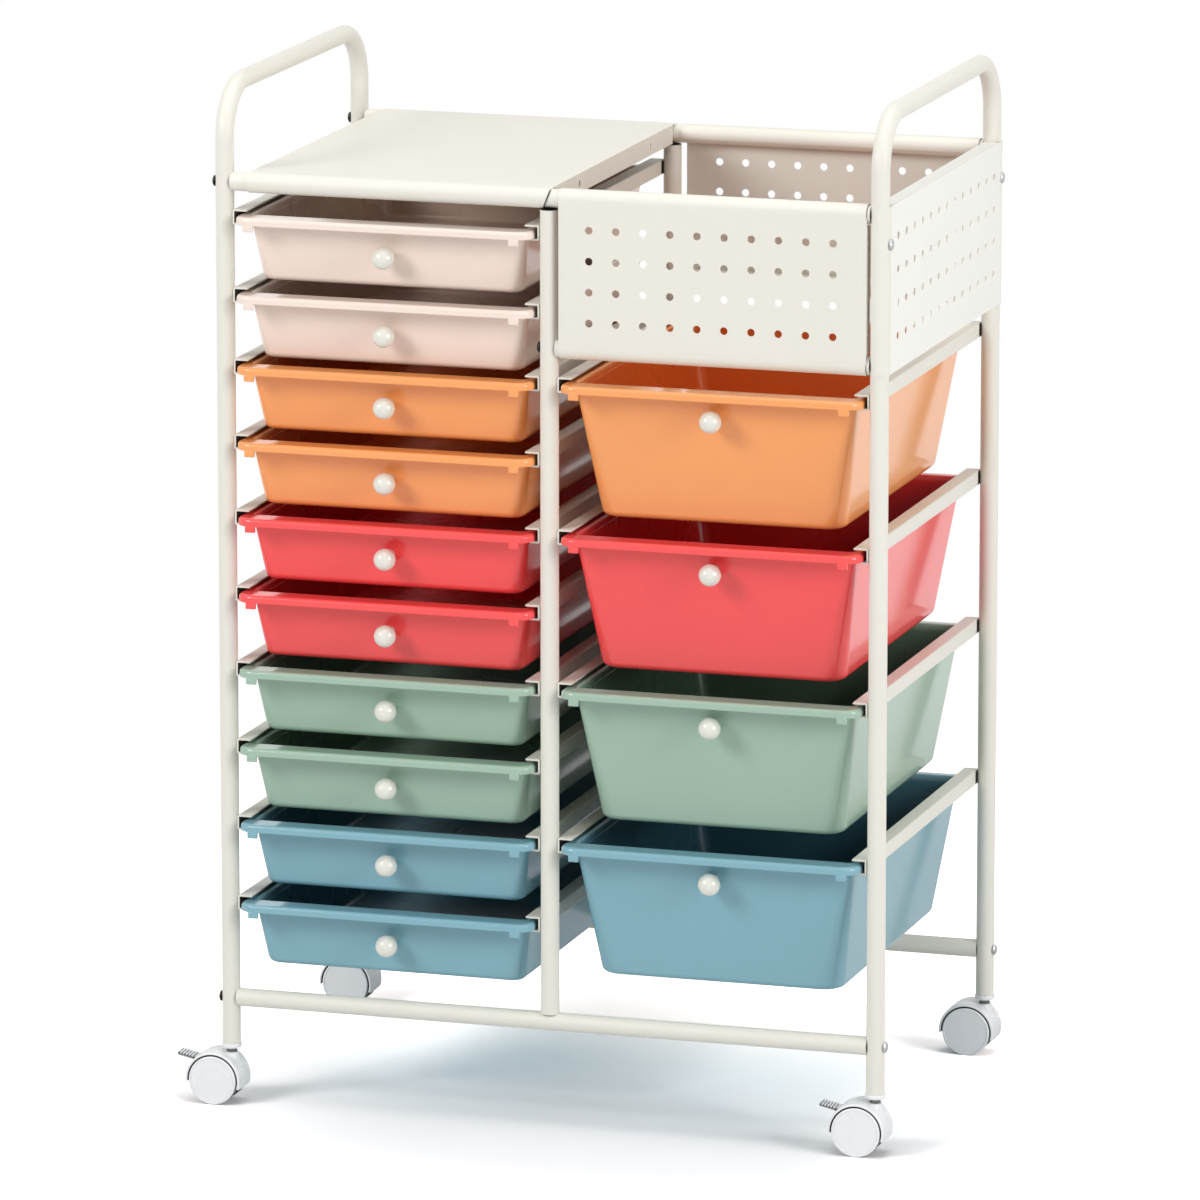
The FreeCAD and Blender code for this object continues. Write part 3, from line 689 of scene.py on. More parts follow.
def basket_panel(name, side, first_x):
    """A perforated panel rolled over the top tube, flat down its face and rolled under the panel tube."""
    low, high = reach(name)
    y = front_y if side < 0 else rear_y
    face_y = y + side * rolled
    end = high[0] - panel_end_gap
    xs, first_i = hole_lines(middle_x + first_x, panel_pitch_x, panel_hole_columns, low[0], end)
    xs = np.concatenate([xs[:-1], [end - 0.8, end - 0.4, end]])
    lowest = top_z - panel_hole_drop - (hole_rows - 1) * panel_pitch_z
    zs, first_j = hole_lines(lowest, panel_pitch_z, hole_rows, panel_z, top_z)
    if side < 0:
        under, over = (360.0 + panel_roll_past_back, 180.0), (180.0, -panel_roll_past_back)
    else:
        under, over = (180.0 - panel_roll_past_back, 360.0), (0.0, 180.0 + panel_roll_past_back)
    low_arc = arc_rows((y, panel_z), *under, roll_steps)
    high_arc = arc_rows((y, top_z), *over, roll_steps)
    points, outs = joined(low_arc, line_rows(zs[1:-1], face_y, (side, 0)), high_arc)
    middle, out = swept_sheet(xs, points, outs, 0)
    cells = [(first_i + hole_cuts * i, roll_steps + first_j + hole_cuts * j)
             for i in range(panel_hole_columns) for j in range(hole_rows)]
    # The last columns of both rolls are painted in shade, a dark line at the panel's right end.
    painted_shade_and_dip = np.zeros(middle.shape[:2])
    painted_shade_and_dip[-2:, :roll_steps + 1] = panel_end_shade
    painted_shade_and_dip[-2:, -roll_steps - 1:] = panel_end_shade
    skin = add_sheet(Skin(), middle, out, cells, painted_shade_and_dip=painted_shade_and_dip)
    if side < 0:
        panel_flange(skin, end - sheet / 2, face_y + sheet / 2, lowest)
    skin.piece(name + "_sheet", name)


def panel_flange(skin, x, y0, lowest):
    """The front panel's right edge folded back between its rolls, with a small hole level with its top and
    its bottom row of holes."""
    block = small_hole_cell * (np.arange(hole_cuts + 1) / hole_cuts - 0.5)
    highest = top_z - panel_hole_drop
    zs = np.concatenate([[panel_z + rolled + 1.0], lowest + block, highest + block, [top_z - rolled - 1.0]])
    ys = np.concatenate([[y0], y0 + panel_flange_depth / 2 + block, [y0 + panel_flange_depth]])
    middle, out = swept_sheet(ys, *line_rows(zs, x, (1, 0)), 1)
    cells = [(1, 1), (1, 2 + hole_cuts)]
    add_sheet(skin, middle, out, cells, radius=flange_hole_radius, thick=folded_sheet)


def side_panel():
    """The perforated side sheet, wrapped round both right posts, with a lip folded in along its top."""
    low, high = reach("side_panel")
    top = high[2] + side_panel_rise
    face_x = right_x + rolled
    first_y = (front_y + rear_y) / 2 - (side_hole_columns - 1) / 2 * side_pitch_y
    ys, first_i = hole_lines(first_y, side_pitch_y, side_hole_columns, front_y, rear_y)
    lowest = top_z - side_hole_drop - (hole_rows - 1) * side_pitch_z
    zs, first_j = hole_lines(lowest, side_pitch_z, hole_rows, low[2] + side_panel_trim, top)
    front = arc_rows((right_x, front_y), -side_panel_wrap, 0.0, side_wrap_steps)
    rear = arc_rows((right_x, rear_y), 0.0, side_panel_wrap, side_wrap_steps)
    points, outs = joined(front, line_rows(ys[1:-1], face_x, (1, 0)), rear)
    middle, out = swept_sheet(zs, points, outs, 2)
    middle, out = middle.transpose(1, 0, 2), out.transpose(1, 0, 2)
    cells = [(side_wrap_steps + first_i + hole_cuts * i, first_j + hole_cuts * j)
             for i in range(side_hole_columns) for j in range(hole_rows)]
    # The flat face keeps the side sheet's lighter paint, a painted light from the right; the wraps round the
    # posts take the plain ivory.
    wrap = np.ones(len(points))
    wrap[side_wrap_steps + 1:-side_wrap_steps - 1] = 0
    skin = add_sheet(Skin(), middle, out, cells, painted_shade_and_dip=wrap[:, None])
    lip_end = face_x + sheet / 2 - side_panel_lip
    fold = rounded(
        [(face_x, top - 8), (face_x, top - sheet / 2), (lip_end, top - sheet / 2)], (0, side_lip_fold, 0)
    )
    step = np.gradient(fold, axis=0)
    step /= np.linalg.norm(step, axis=1, keepdims=True)
    ends = (front_y + tube_radius + sheet, rear_y - tube_radius - sheet)
    add_sheet(skin, *swept_sheet(ends, fold, np.stack([step[:, 1], -step[:, 0]], -1), 1), thick=folded_sheet)
    skin.piece("side_panel_sheet", "side_panel", slot="white_paint")


def top_shelf():
    """The shelf's sheet: rolled round the front tube, flat over the drawers and rolled round the rear tube.

    The front roll's right end is cut back by cut d^1.6, where d goes from 0 at its top to 1 below."""
    low, high = reach("top_shelf")
    x0, x1 = low[0], high[0]
    front = arc_rows((front_y, top_z), shelf_front_roll_end, 90.0, shelf_roll_steps)
    rear = arc_rows((rear_y, top_z), 90.0, shelf_rear_roll_end, shelf_roll_steps)
    ys = np.linspace(front_y, rear_y, 12)[1:-1]
    flat = line_rows(ys, top_z + rolled, (1, 0))
    points, outs = joined(front, [part[:, ::-1] for part in flat], rear)
    xs = np.concatenate([[x0, x0 + 1.0], np.linspace(x0, x1, 8)[1:-1], [x1 - 1.5, x1 - 0.9, x1]])
    middle, out = swept_sheet(xs, points, outs, 0)
    drop = (1 - outs[:, 1]) / 2
    arc = shelf_roll_steps + 1
    middle[-3:, :arc, 0] -= shelf_end_cut * drop[:arc] ** 1.6
    # The last columns are painted in shade where the roll turns down, a dark line along the cut edge.
    painted_shade_and_dip = np.zeros(middle.shape[:2])
    painted_shade_and_dip[-2:] = np.clip(drop * 8, 0, 1)
    skin = add_sheet(Skin(), middle, out, painted_shade_and_dip=painted_shade_and_dip)
    shelf_flange(skin, x1 - sheet / 2)
    skin.piece("top_shelf_sheet", "top_shelf")


def shelf_flange(skin, x):
    """The flange folded down along the shelf's right edge, with a slot near each end."""
    cell = small_hole_cell
    cuts = np.arange(hole_cuts + 1) / hole_cuts
    middle_y = (front_y + rear_y) / 2
    slot_front = middle_y - shelf_slot_spread / 2 - cell / 2
    slot_rear = middle_y + shelf_slot_spread / 2 - cell / 2
    flange_front = front_y + tube_radius + sheet
    flange_rear = rear_y - tube_radius - sheet
    runs = [
        np.linspace(flange_front, slot_front, 3), slot_front + cell * cuts[1:],
        np.linspace(slot_front + cell, slot_rear, 5)[1:], slot_rear + cell * cuts[1:],
        np.linspace(slot_rear + cell, flange_rear, 5)[1:],
    ]
    blocks = [len(runs[0]) - 1, sum(len(run) for run in runs[:3]) - 1]
    top = top_z + tube_radius + sheet / 2
    bottom = top_z + tube_radius - shelf_flange_height
    slot_low = top_z + tube_radius - shelf_flange_height / 2 - cell / 2
    zs = np.concatenate([[bottom], slot_low + cell * cuts, [top]])
    middle, out = swept_sheet(np.concatenate(runs), *line_rows(zs, x, (1, 0)), 1)
    add_slotted(skin, middle, out, [(block, 1) for block in blocks])


def add_slotted(skin, middle, out, cells):
    """A sheet whose holes are upright slots: each hole's points go to the hole's middle plus
    (w sign(c) |c|^p, h sign(s) |s|^p), where c and s are the cosine and sine of the point's angle, w and h
    half the slot's sizes, and p its squareness."""
    add_sheet(skin, middle, out, cells, radius=1.0, thick=folded_sheet)
    points = skin.points[-1]
    rims = slice(2 * middle.shape[0] * middle.shape[1], None)
    holes = points[rims].reshape(-1, 4 * hole_cuts, 3)
    centre = holes.mean(1, keepdims=True)
    away = holes - centre
    angle = np.arctan2(away[..., 2], away[..., 1])
    for spot, size, part in ((1, shelf_slot_width, np.cos(angle)), (2, shelf_slot_height, np.sin(angle))):
        away[..., spot] = size / 2 * np.sign(part) * np.abs(part) ** slot_squareness
    points[rims] = (centre + away).reshape(-1, 3)


def bolt_rings(point, axis, dip):
    """A low domed head: its profile rises along an ellipse and dips into a round recess of that depth."""
    angle = np.radians(np.linspace(0, bolt_dome_angle, 9))
    rise = bolt_rim + (bolt_height - bolt_rim) * np.sin(angle) / math.sin(angle[-1])
    dome = np.stack([bolt_radius * np.cos(angle), rise], -1)
    floor = bolt_height - dip
    # The head ends in a real round dip, a shape of the bolt with no painted shade.
    painted_shade_and_dip = [(bolt_dip_radius + 0.1, bolt_height), (bolt_dip_radius, bolt_height - 0.1),
              (bolt_dip_radius - 0.1, floor), (0.3, floor)]
    return turned(np.concatenate([[(bolt_radius, 0.0)], dome, painted_shade_and_dip]), point, axis, 28)


def bolts():
    """Black bolts in the left and middle posts with a deep recess, and plated ones in the right posts."""
    black = Skin()
    bright = Skin()
    left = left_x - tube_radius
    right = right_x + tube_radius
    for y in (front_y, rear_y):
        for x, z in ((left, bottom_z), (left, top_z), (middle_x - tube_radius, panel_z)):
            black.rings(bolt_rings((x, y, z), (-1, 0, 0), black_bolt_dip))
        for x, z in ((right, bottom_z), (right + sheet, top_z - side_panel_bolt_drop)):
            bright.rings(bolt_rings((x, y, z), (1, 0, 0), plated_bolt_dip))
    black.piece("black_bolt_heads", "frame_bolts", slot="bolt_black", crease=50.0)
    bright.piece("plated_bolt_heads", "plated_bolts", slot="bolt_plated", crease=50.0)


def axle_point(x, y):
    """The middle of a caster's axle, left of its post's axis by the trail."""
    return np.array([x - caster_trail, y, wheel_radius])


def caster(corner, x, y):
    """A hood over two wheels whose treads are darker, partly their own grey and partly painted shade, and
    the axle between them. A disc's profile runs from its bore round its edge, down into a groove and over a
    low dome, dome (1 - r^2) at the share r."""
    axle = axle_point(x, y)
    hood_piece(corner, x, y, axle)
    inner = web_width / 2 + wheel_side_gap
    outer = inner + wheel_width
    face = wheel_radius - wheel_edge
    turn = np.radians(np.linspace(0, 75, 6))
    disc = [(wheel_bore, inner), (wheel_radius - 0.6, inner), (wheel_radius, inner + 0.6)]
    disc += [(face + wheel_edge * math.cos(a), outer - wheel_edge * (1 - math.sin(a))) for a in turn]
    groove = outer - wheel_groove
    disc += [(face - 0.3, outer - 0.05), (face - 0.6, groove), (face - 1.1, groove)]
    dome = face - 1.4
    disc += [(dome * r, outer - wheel_dome + wheel_dome * (1 - r * r)) for r in np.linspace(1, 0.02, 8)]
    # The tread turns darker, partly its own grey and partly painted shade.
    tread = np.arange(len(disc)) < 4
    wheels = Skin()
    for side in (-1, 1):
        wheels.rings(turned(disc, axle, (0, side, 0), 72), painted_shade_and_dip=tread[:, None])
    body = "wheels_" + corner
    wheels.piece("twin_wheels_" + corner, "caster_wheels_" + corner, body, "caster_plastic", crease=30.0)
    half = inner + 2.0
    pin = turned([(axle_radius, -half), (axle_radius, half)], axle, (0, 1, 0), 24)
    Skin().rings(pin).piece(
        "axle_pin_" + corner, "caster_axle_" + corner, body, "stem_steel", finishes["bolt_plated"])


def neck_rings(x, y, axle):
    """The hood's neck: from its flat top down a short straight run, then out over the fender as a saddle.

    At the share t of its flare the neck's radius is neck + flare t^1.6. Its height is that of the
    fender's round wall there, sqrt(R^2 - dx^2) over the axle, and a lift over it that fades as
    (1 - t)^2."""
    turn = 2 * np.pi * np.arange(48) / 48
    rim = np.stack([np.cos(turn), np.sin(turn)], -1)
    shoulder = hood_top_z - neck_straight
    outer = hood_outer - fender_inset - 0.3

    def wall(radius):
        across = x + radius * rim[:, 0] - axle[0]
        return axle[2] + np.sqrt(np.maximum(outer ** 2 - across ** 2, 0))

    def ring(radius, z):
        return np.stack([x + radius * rim[:, 0], y + radius * rim[:, 1], np.broadcast_to(z, 48)], -1)

    lift = shoulder - wall(neck_radius)
    rows = [ring(neck_radius + neck_flare - 2.0, axle[2] + 12.0)]
    for t in np.linspace(1, 0, 11):
        radius = neck_radius + neck_flare * t ** 1.6
        rows.append(ring(radius, wall(radius) + lift * (1 - t) ** 2))
    rows.append(ring(neck_radius, hood_top_z - 0.5))
    rows.append(ring(neck_radius - 0.15, hood_top_z - 0.15))
    rows.append(ring(neck_radius - 0.5, hood_top_z))
    rows.append(ring(stem_radius + 0.1, hood_top_z))
    return np.stack(rows)


def hood_piece(corner, x, y, axle):
    """The fender, its section with rounded edges carried round the axle, the web between the wheels and a
    neck that flares into the fender."""
    half = hood_width / 2
    outer = hood_outer - fender_inset
    section = rounded(
        [(hood_inner, -half), (outer - 0.4, -half), (outer, 0), (outer - 0.4, half), (hood_inner, half)],
        (0.4, hood_edge, 40.0, hood_edge, 0.4), closed=True, steps=5, lead=0.1,
    )
    angle = np.radians(np.linspace(hood_start, hood_end, hood_steps))
    radial = np.stack([np.cos(angle), np.zeros(hood_steps), np.sin(angle)], -1)
    rings = axle + section[None, :, 0, None] * radial[:, None, :]
    rings[..., 1] = axle[1] + section[None, :, 1]
    # The fender's inside and the web between the wheels are painted in dark shade.
    skin = Skin().rings(rings, painted_shade_and_dip=(section[:, 0] < hood_inner + 0.05)[None, :])
    web_arc = axle + (hood_inner + 0.5) * radial
    web = np.stack([web_arc + [0, -web_width / 2, 0], web_arc + [0, web_width / 2, 0]])
    skin.rings(web, painted_shade_and_dip=1.0)
    skin.rings(neck_rings(x, y, axle))
    skin.piece("hood_shell_" + corner, "caster_hood_" + corner, "caster_" + corner, "caster_plastic",
               crease=35.0)


def brake_lever(corner, x, y):
    """A foot lever: a bar with a round tip and cross ribs along its upper side, on the hub at its pivot.

    Its side outline lists (distance from the pivot, height), and it is carried across the lever's width,
    a little smaller at both ends."""
    pivot_angle = math.radians(lever_pivot_angle)
    fender = (hood_inner + hood_outer) / 2
    pivot = axle_point(x, y) + fender * np.array([math.cos(pivot_angle), 0, math.sin(pivot_angle)])
    rise = math.radians(lever_rise)
    out = np.array([-math.cos(rise), 0.0, math.sin(rise)])
    up = np.array([math.sin(rise), 0.0, math.cos(rise)])
    half = lever_width / 2
    thick = lever_thickness / 2
    top = thick + lever_rib_height
    outline = [(0.0, -thick), (lever_length, -thick), (lever_length, top)]
    radii = [0.0, *lever_tip_rounds]
    for k in range(lever_ribs):
        crest = lever_length - k * lever_pitch - lever_pitch * 0.55
        outline += [(crest, top), (crest - 0.1, top - lever_groove),
                    (crest - lever_pitch * 0.4, top - lever_groove), (crest - lever_pitch * 0.45, top)]
        radii += [0.25, 0.1, 0.1, 0.25]
    outline += [(0.0, thick)]
    radii += [0.0]
    side = rounded(outline, radii, closed=True, steps=3, lead=0.02)
    middle = side.mean(0)
    # The grooves between the ribs are painted in dark shade.
    sunk = (side[:, 1] > -thick * 0.7) & (side[:, 1] < top - lever_groove * 0.6)
    groove = sunk & (side[:, 0] < lever_length - 1.0)
    skin = Skin()
    rows = []
    for across, share in ((-half, 0.97), (-half + 0.35, 1.0), (half - 0.35, 1.0), (half, 0.97)):
        flat = middle + (side - middle) * [1.0 - (1.0 - share) * 0.3, share]
        rows.append(pivot + flat[:, :1] * out + flat[:, 1:] * up + np.array([0.0, across, 0.0]))
    skin.rings(np.stack(rows), painted_shade_and_dip=groove[None, :])
    skin.rings(turned([(lever_hub, -half), (lever_hub, half)], pivot, (0, 1, 0), 20))
    node = "brake_lever_" + corner
    skin.piece("foot_lever_" + corner, node, node, "caster_plastic")


def posts_feet():
    """The plugs in the posts' feet, and the stems with their collars."""
    plugs = Skin()
    stems = Skin()
    edge = small_edge
    plug_z = foot_z - plug_flange
    plug_top = foot_z - 0.02
    bore = stem_radius + 0.1
    plug = [
        (bore, plug_z), (plug_radius - 3 * edge, plug_z), (plug_radius - edge, plug_z + edge),
        (plug_radius, plug_z + 3 * edge), (plug_radius, foot_z - 0.8), (plug_radius - edge, foot_z - edge),
        (tube_radius - 0.4, plug_top), (bore, plug_top),
    ]
    collar_z = hood_top_z + collar_gap
    ring_z = collar_z + collar_ring
    sleeve = stem_radius + 0.5
    stem = [
        (stem_radius, stem_low_z), (stem_radius, collar_z), (collar_radius - edge, collar_z),
        (collar_radius, collar_z + edge), (collar_radius, ring_z - edge), (collar_radius - edge, ring_z),
        (sleeve, ring_z), (sleeve, collar_z + collar_height), (sleeve, plug_z + 0.5),
        (stem_radius, plug_z + 1.0), (stem_radius, stem_high_z),
    ]
    for x in (left_x, right_x):
        for y in (front_y, rear_y):
            plugs.rings(turned(plug, (x, y, 0), (0, 0, 1), 40))
            stems.rings(turned(stem, (x, y, 0), (0, 0, 1), 32))
    plugs.piece("foot_plugs", "post_plugs", slot="caster_plastic")
    stems.piece("steel_stems", "caster_stems", slot="stem_steel")


class Link:
    """A shader value that takes part in sums as a number does, each sum adding its Math node."""

    def __init__(self, graph, socket):
        self.graph = graph
        self.socket = socket

    def math(self, operation, *values):
        return self.graph.node("ShaderNodeMath", {"operation": operation}, *values)

    def __add__(self, other):
        return self.math("ADD", self, other)

    def __rsub__(self, other):
        return self.math("SUBTRACT", other, self)

    def __mul__(self, other):
        return self.math("MULTIPLY", self, other)

    def over(self, other):
        """The larger of two values."""
        return self.math("MAXIMUM", self, other)

    __radd__ = __add__
    __rmul__ = __mul__


class Graph:
    """The nodes of a material or of the world."""

    def __init__(self, owner):
        self.owner = owner
        owner.use_nodes = True
        self.tree = owner.node_tree
        self.tree.nodes.clear()

    def node(self, kind, settings=None, *values, output=0, **named):
        """A node of the kind, with its settings and then its inputs' values or links, by place or name."""
        made = self.tree.nodes.new(kind)
        for key, value in (settings or {}).items():
            setattr(made, key, value)
        inputs = list(enumerate(values)) + [(key.replace("_", " "), value) for key, value in named.items()]
        for key, value in inputs:
            if isinstance(value, Link):
                self.tree.links.new(value.socket, made.inputs[key])
            else:
                made.inputs[key].default_value = value
        return Link(self, made.outputs[output])

    def finish(self, shader, kind="ShaderNodeOutputMaterial"):
        """The owner, with its surface."""
        output = self.tree.nodes.new(kind)
        self.tree.links.new(shader.socket, output.inputs["Surface"])
        return self.owner

    def place(self):
        """The place on the piece, in metres."""
        return self.node("ShaderNodeTexCoord", output="Object")

    def painted_shade_and_dip(self):
        """The piece's share of painted shade, 0 where it has none."""
        return self.node("ShaderNodeAttribute", {"attribute_name": "painted_shade_and_dip"}, output="Fac")

    def noise(self, scale, detail=2.0):
        """Noise from 0 to 1 with so many lumps to the metre."""
        return self.node("ShaderNodeTexNoise", Vector=self.place(), Scale=scale, Detail=detail)

    def tint(self, share, first, second):
        """A colour between two by share."""
        colours = [colour if isinstance(colour, Link) else (*colour, 1.0) for colour in (first, second)]
        made = self.node("ShaderNodeMix", {"data_type": "RGBA"}, share, output=2)
        for place, colour in zip((6, 7), colours):
            if isinstance(colour, Link):
                self.tree.links.new(colour.socket, made.socket.node.inputs[place])
            else:
                made.socket.node.inputs[place].default_value = colour
        return made

    def bump(self, height, distance):
        """A surface normal from a height, over a distance in metres."""
        return self.node("ShaderNodeBump", Height=height, Distance=distance)

    def vector(self, operation, *values, output="Vector"):
        """Vector Math on places."""
        return self.node("ShaderNodeVectorMath", {"operation": operation}, *values, output=output)

    def fade(self, value, start, end):
        """From 0 to 1 while the value goes from start to end, smooth at both."""
        settings = {"interpolation_type": "SMOOTHSTEP"}
        return self.node("ShaderNodeMapRange", settings, value, start, end, 0.0, 1.0)

    def rays(self):
        """1 for a camera ray, and 1 for a ray of any kind that shows the background."""
        path = self.node("ShaderNodeLightPath").socket.node.outputs
        camera, glossy, through = [
            Link(self, path["Is " + kind + " Ray"]) for kind in ("Camera", "Glossy", "Transmission")]
        return camera, camera.over(glossy).over(through)


def darker(colour, share):
    """The colour times a share."""
    return tuple(share * c for c in colour)


def powder_coat(name, colour, deep):
    """Baked powder paint: an even colour with a faint cloud, and the fine orange peel of its surface. The
    deep colour takes over where the piece's share of painted shade is 1."""
    graph = Graph(bpy.data.materials.new(name))
    peel = graph.noise(900.0, 1.0)
    clouded = graph.tint(graph.noise(9.0), colour, darker(colour, 0.97))
    return graph.finish(graph.node(
        "ShaderNodeBsdfPrincipled", Base_Color=graph.tint(graph.painted_shade_and_dip(), clouded, deep),
        Roughness=0.48 + 0.08 * peel, Coat_Weight=0.06, Coat_Roughness=0.15,
        Normal=graph.bump(peel, peel_depth),
    ))


def moulded(name, colour, deep, gloss=0.1, coat=0.2):
    """Moulded plastic: an even colour, a gloss that drifts a little and a faint flow in its surface.

    The deep colour takes over where the piece's share of painted shade is 1, and the gloss goes with the
    coat."""
    graph = Graph(bpy.data.materials.new(name))
    drift = graph.noise(14.0)
    painted_shade_and_dip = graph.painted_shade_and_dip()
    drifting = graph.tint(drift, colour, darker(colour, 0.96))
    return graph.finish(graph.node(
        "ShaderNodeBsdfPrincipled", Base_Color=graph.tint(painted_shade_and_dip, drifting, deep),
        Roughness=gloss + 0.05 * drift + 0.15 * painted_shade_and_dip, Coat_Weight=coat * (1.0 - painted_shade_and_dip),
        Coat_Roughness=0.04, Normal=graph.bump(graph.noise(160.0, 1.0), flow_depth),
    ))


def plated(name, colour, gloss=0.28):
    """Plated steel with a faint brushed variation."""
    graph = Graph(bpy.data.materials.new(name))
    grain = graph.noise(600.0)
    return graph.finish(graph.node(
        "ShaderNodeBsdfPrincipled", Base_Color=graph.tint(grain, colour, darker(colour, 0.85)),
        Roughness=gloss + 0.1 * grain, Metallic=1.0, Normal=graph.bump(grain, grain_depth),
    ))


def linear(red, green, blue):
    """A colour given as it shows on a screen, 0 to 255, as the light values that shaders take."""
    shown = np.array([red, green, blue]) / 255.0
    return tuple(np.where(shown <= 0.04045, shown / 12.92, ((shown + 0.055) / 1.055) ** 2.4))


# Finishes by slot
ivory_shade = linear(227, 224, 213)
knob_shade = linear(227, 226, 215)
finishes = {
    # The ivory's deep colour is a painted dark shade.
    "ivory_paint": powder_coat("ivory_powder_coat", ivory_shade, linear(62, 60, 54)),
    # The side sheet's paint is the ivory painted lighter, painted light from the right, and its deep colour
    # is the plain ivory.
    "white_paint": powder_coat("ivory_powder_coat_with_painted_light", linear(238, 237, 230), ivory_shade),
    # The caster plastic's deep colour is painted shade in the hood and the lever's grooves, and partly the
    # treads' own grey.
    "caster_plastic": moulded("caster_white_plastic", linear(236, 237, 238), linear(88, 89, 91), gloss=0.25),
    "knob_plastic": moulded("knob_ivory_plastic", knob_shade, knob_shade),
    "bolt_black": plated("blackened_bolt_steel", linear(60, 58, 56), gloss=0.35),
    "bolt_plated": plated("plated_steel", linear(200, 200, 200)),
    "stem_steel": plated("grey_stem_steel", linear(128, 128, 124), gloss=0.4),
}
tray_colours = {
    "pink": linear(239, 221, 209),
    "orange": linear(245, 162, 95),
    "coral": linear(246, 80, 80),
    "sage": linear(159, 186, 167),
    "blue": linear(127, 174, 187),
}
for name, colour in tray_colours.items():
    # Inside a tray the colour is painted darker and richer, a painted shade.
    inside_shade = tuple(0.8 * np.power(colour, 1.75))
    finishes[name + "_plastic"] = moulded(name + "_tray_plastic", colour, inside_shade)

# Tubes
for name, x in (("left_side_frame", left_x), ("right_side_frame", right_x)):
    Skin().rings(side_tube(x)).piece(name + "_tube", name)
inner_left = left_x + tube_radius
inner_right = right_x - tube_radius
posts = Skin()
crossing = (
    ("bottom_cross_tubes", "bottom_tubes", inner_left, bottom_z, 0.0, Skin()),
    ("top_cross_tubes", "top_tubes", inner_left, top_z, tube_shaded_end, Skin()),
    ("basket_cross_tubes", "panel_tubes", middle_x + tube_radius, panel_z, tube_shaded_end, Skin()),
)
# The middle posts' tops and the top and basket tubes' right ends are painted in shade.
for y in (front_y, rear_y):
    foot = (middle_x, y, bottom_z + tube_radius - 1.0)
    head = (middle_x, y, top_z - tube_radius - sheet - post_top_gap)
    add_tube(posts, foot, head, (1, 0, 0), (0, 1, 0), post_shaded_end)
    for name, node, start_x, z, shaded, skin in crossing:
        start = (start_x - tube_sink, y, z)
        add_tube(skin, start, (inner_right + tube_sink, y, z), (0, 1, 0), (0, 0, 1), shaded)
posts.piece("middle_post_tubes", "middle_posts")
for name, node, start_x, z, shaded, skin in crossing:
    skin.piece(name, node)

# Sheet metal
top_shelf()
basket_panel("front_panel", -1, front_hole_first_x)
basket_panel("rear_panel", 1, rear_hole_first_x)
side_panel()

# Drawers and the rails that carry them. The heights are the undersides of the rails' top flanges.
shallow = ["shallow_drawer_%02d" % (k + 1) for k in range(10)]
deep = ["deep_drawer_%d" % (k + 1) for k in range(4)]
shallow_rows, deep_rows = [
    [reach(name)[1][2] - rim_height - rim_lift + rail_gap for name in names] for names in (shallow, deep)]
rails_piece("left_rails", [(inner_left, 1, shallow_rows)])
rails_piece("middle_rails", [
    (middle_x - tube_radius, -1, shallow_rows), (middle_x + tube_radius, 1, deep_rows)])
rails_piece("right_rails", [(inner_right, -1, deep_rows)])
column = list(tray_colours)
in_pairs = [colour for colour in column for _ in range(2)]
for names, colours, knob_drop in (
        (shallow, in_pairs, shallow_knob_drop), (deep, column[1:], deep_knob_drop)):
    for name, colour in zip(names, colours):
        drawer_piece(name, colour + "_plastic")
        knob_piece(name, knob_drop)

# Bolts and casters
bolts()
posts_feet()
for side_name, y in (("front", front_y), ("rear", rear_y)):
    for hand, x in (("left", left_x), ("right", right_x)):
        corner = side_name + "_" + hand
        caster(corner, x, y)
        if side_name == "front":
            brake_lever(corner, x, y)


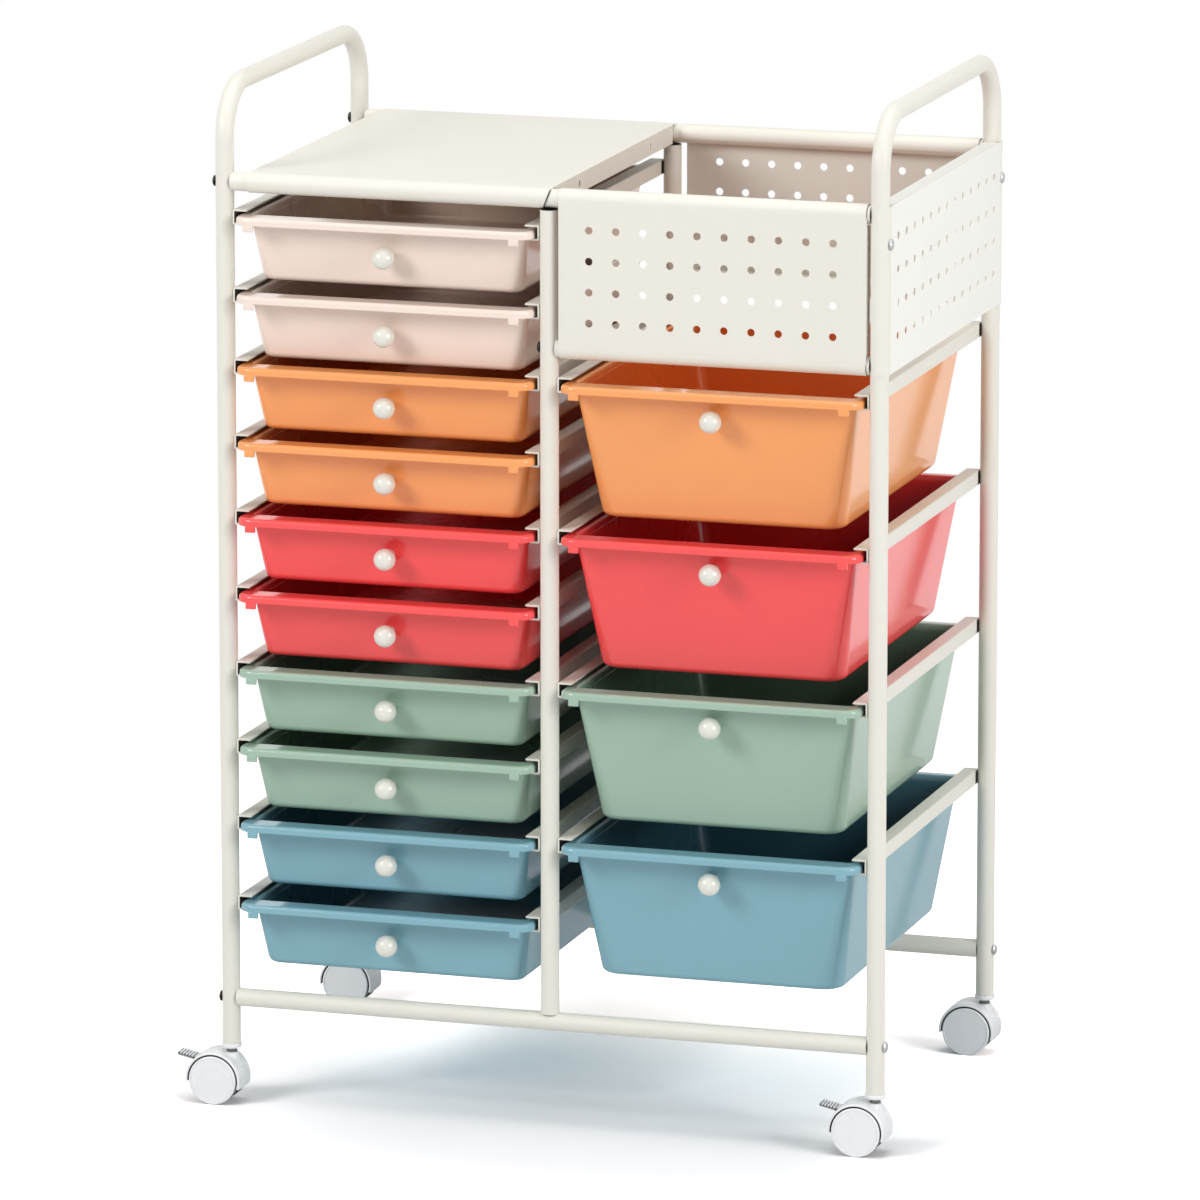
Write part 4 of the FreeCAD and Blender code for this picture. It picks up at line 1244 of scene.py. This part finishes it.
def studio():
    """A pale floor with a painted shadow pool under the cart and painted light round it, a white room and
    soft lamps. Camera, glossy and transmitted rays see the room white.
    """
    mesh = bpy.data.meshes.new("floor")
    corners = [(x * floor_half, y * floor_half, 0) for x, y in ((-1, -1), (1, -1), (1, 1), (-1, 1))]
    mesh.from_pydata(corners, [], [(0, 1, 2, 3)])
    floor = bpy.data.objects.new("floor", mesh)
    bpy.context.scene.collection.objects.link(floor)
    graph = Graph(bpy.data.materials.new("studio_floor"))
    camera, seen = graph.rays()
    # Camera rays see a painted shadow pool about pool_centre, painted lighter further out.
    away = graph.vector("DIVIDE", graph.vector("SUBTRACT", graph.place(), pool_centre), pool_reach)
    near = graph.fade(graph.vector("LENGTH", away, output="Value"), *pool_fade)
    shown = graph.tint(camera, floor_matt, graph.tint(near, pool_shade, floor_shine))
    blank = graph.fade(graph.vector("LENGTH", graph.place(), output="Value"), *blank_fade)
    white_light = graph.node("ShaderNodeEmission", None, (1.0, 1.0, 1.0, 1.0), 1.0)
    lit = graph.node("ShaderNodeBsdfDiffuse", None, shown)
    bright = graph.node("ShaderNodeMixShader", None, blank, lit, white_light)
    matt = graph.node("ShaderNodeBsdfDiffuse", None, (*floor_matt, 1.0))
    mesh.materials.append(graph.finish(graph.node("ShaderNodeMixShader", None, seen, matt, bright)))

    world = bpy.data.worlds.new("white_room")
    bpy.context.scene.world = world
    graph = Graph(world)
    strength = room_light + (1.0 - room_light) * graph.rays()[1]
    background = graph.node("ShaderNodeBackground", None, (1.0, 1.0, 1.0, 1.0), strength)
    graph.finish(background, "ShaderNodeOutputWorld")

    for name, spot, power, size in lamps:
        light = bpy.data.lights.new(name, "AREA")
        light.energy = power
        light.size = size
        lamp = bpy.data.objects.new(name, light)
        lamp.location = spot
        lamp.rotation_euler = (lamp_target - Vector(spot)).to_track_quat("-Z", "Y").to_euler()
        bpy.context.scene.collection.objects.link(lamp)


studio()

data = bpy.data.cameras.new("photo_camera")
data.lens = camera_lens
data.sensor_width = 36.0
data.clip_end = 60.0
camera = bpy.data.objects.new("photo_camera", data)
away = Vector((
    math.sin(camera_azimuth) * math.cos(camera_elevation),
    -math.cos(camera_azimuth) * math.cos(camera_elevation),
    math.sin(camera_elevation),
))
camera.location = camera_target + away * camera_distance
camera.rotation_euler = away.to_track_quat("Z", "Y").to_euler()
bpy.context.scene.collection.objects.link(camera)
bpy.context.scene.camera = camera
bpy.context.scene.view_settings.view_transform = "Standard"
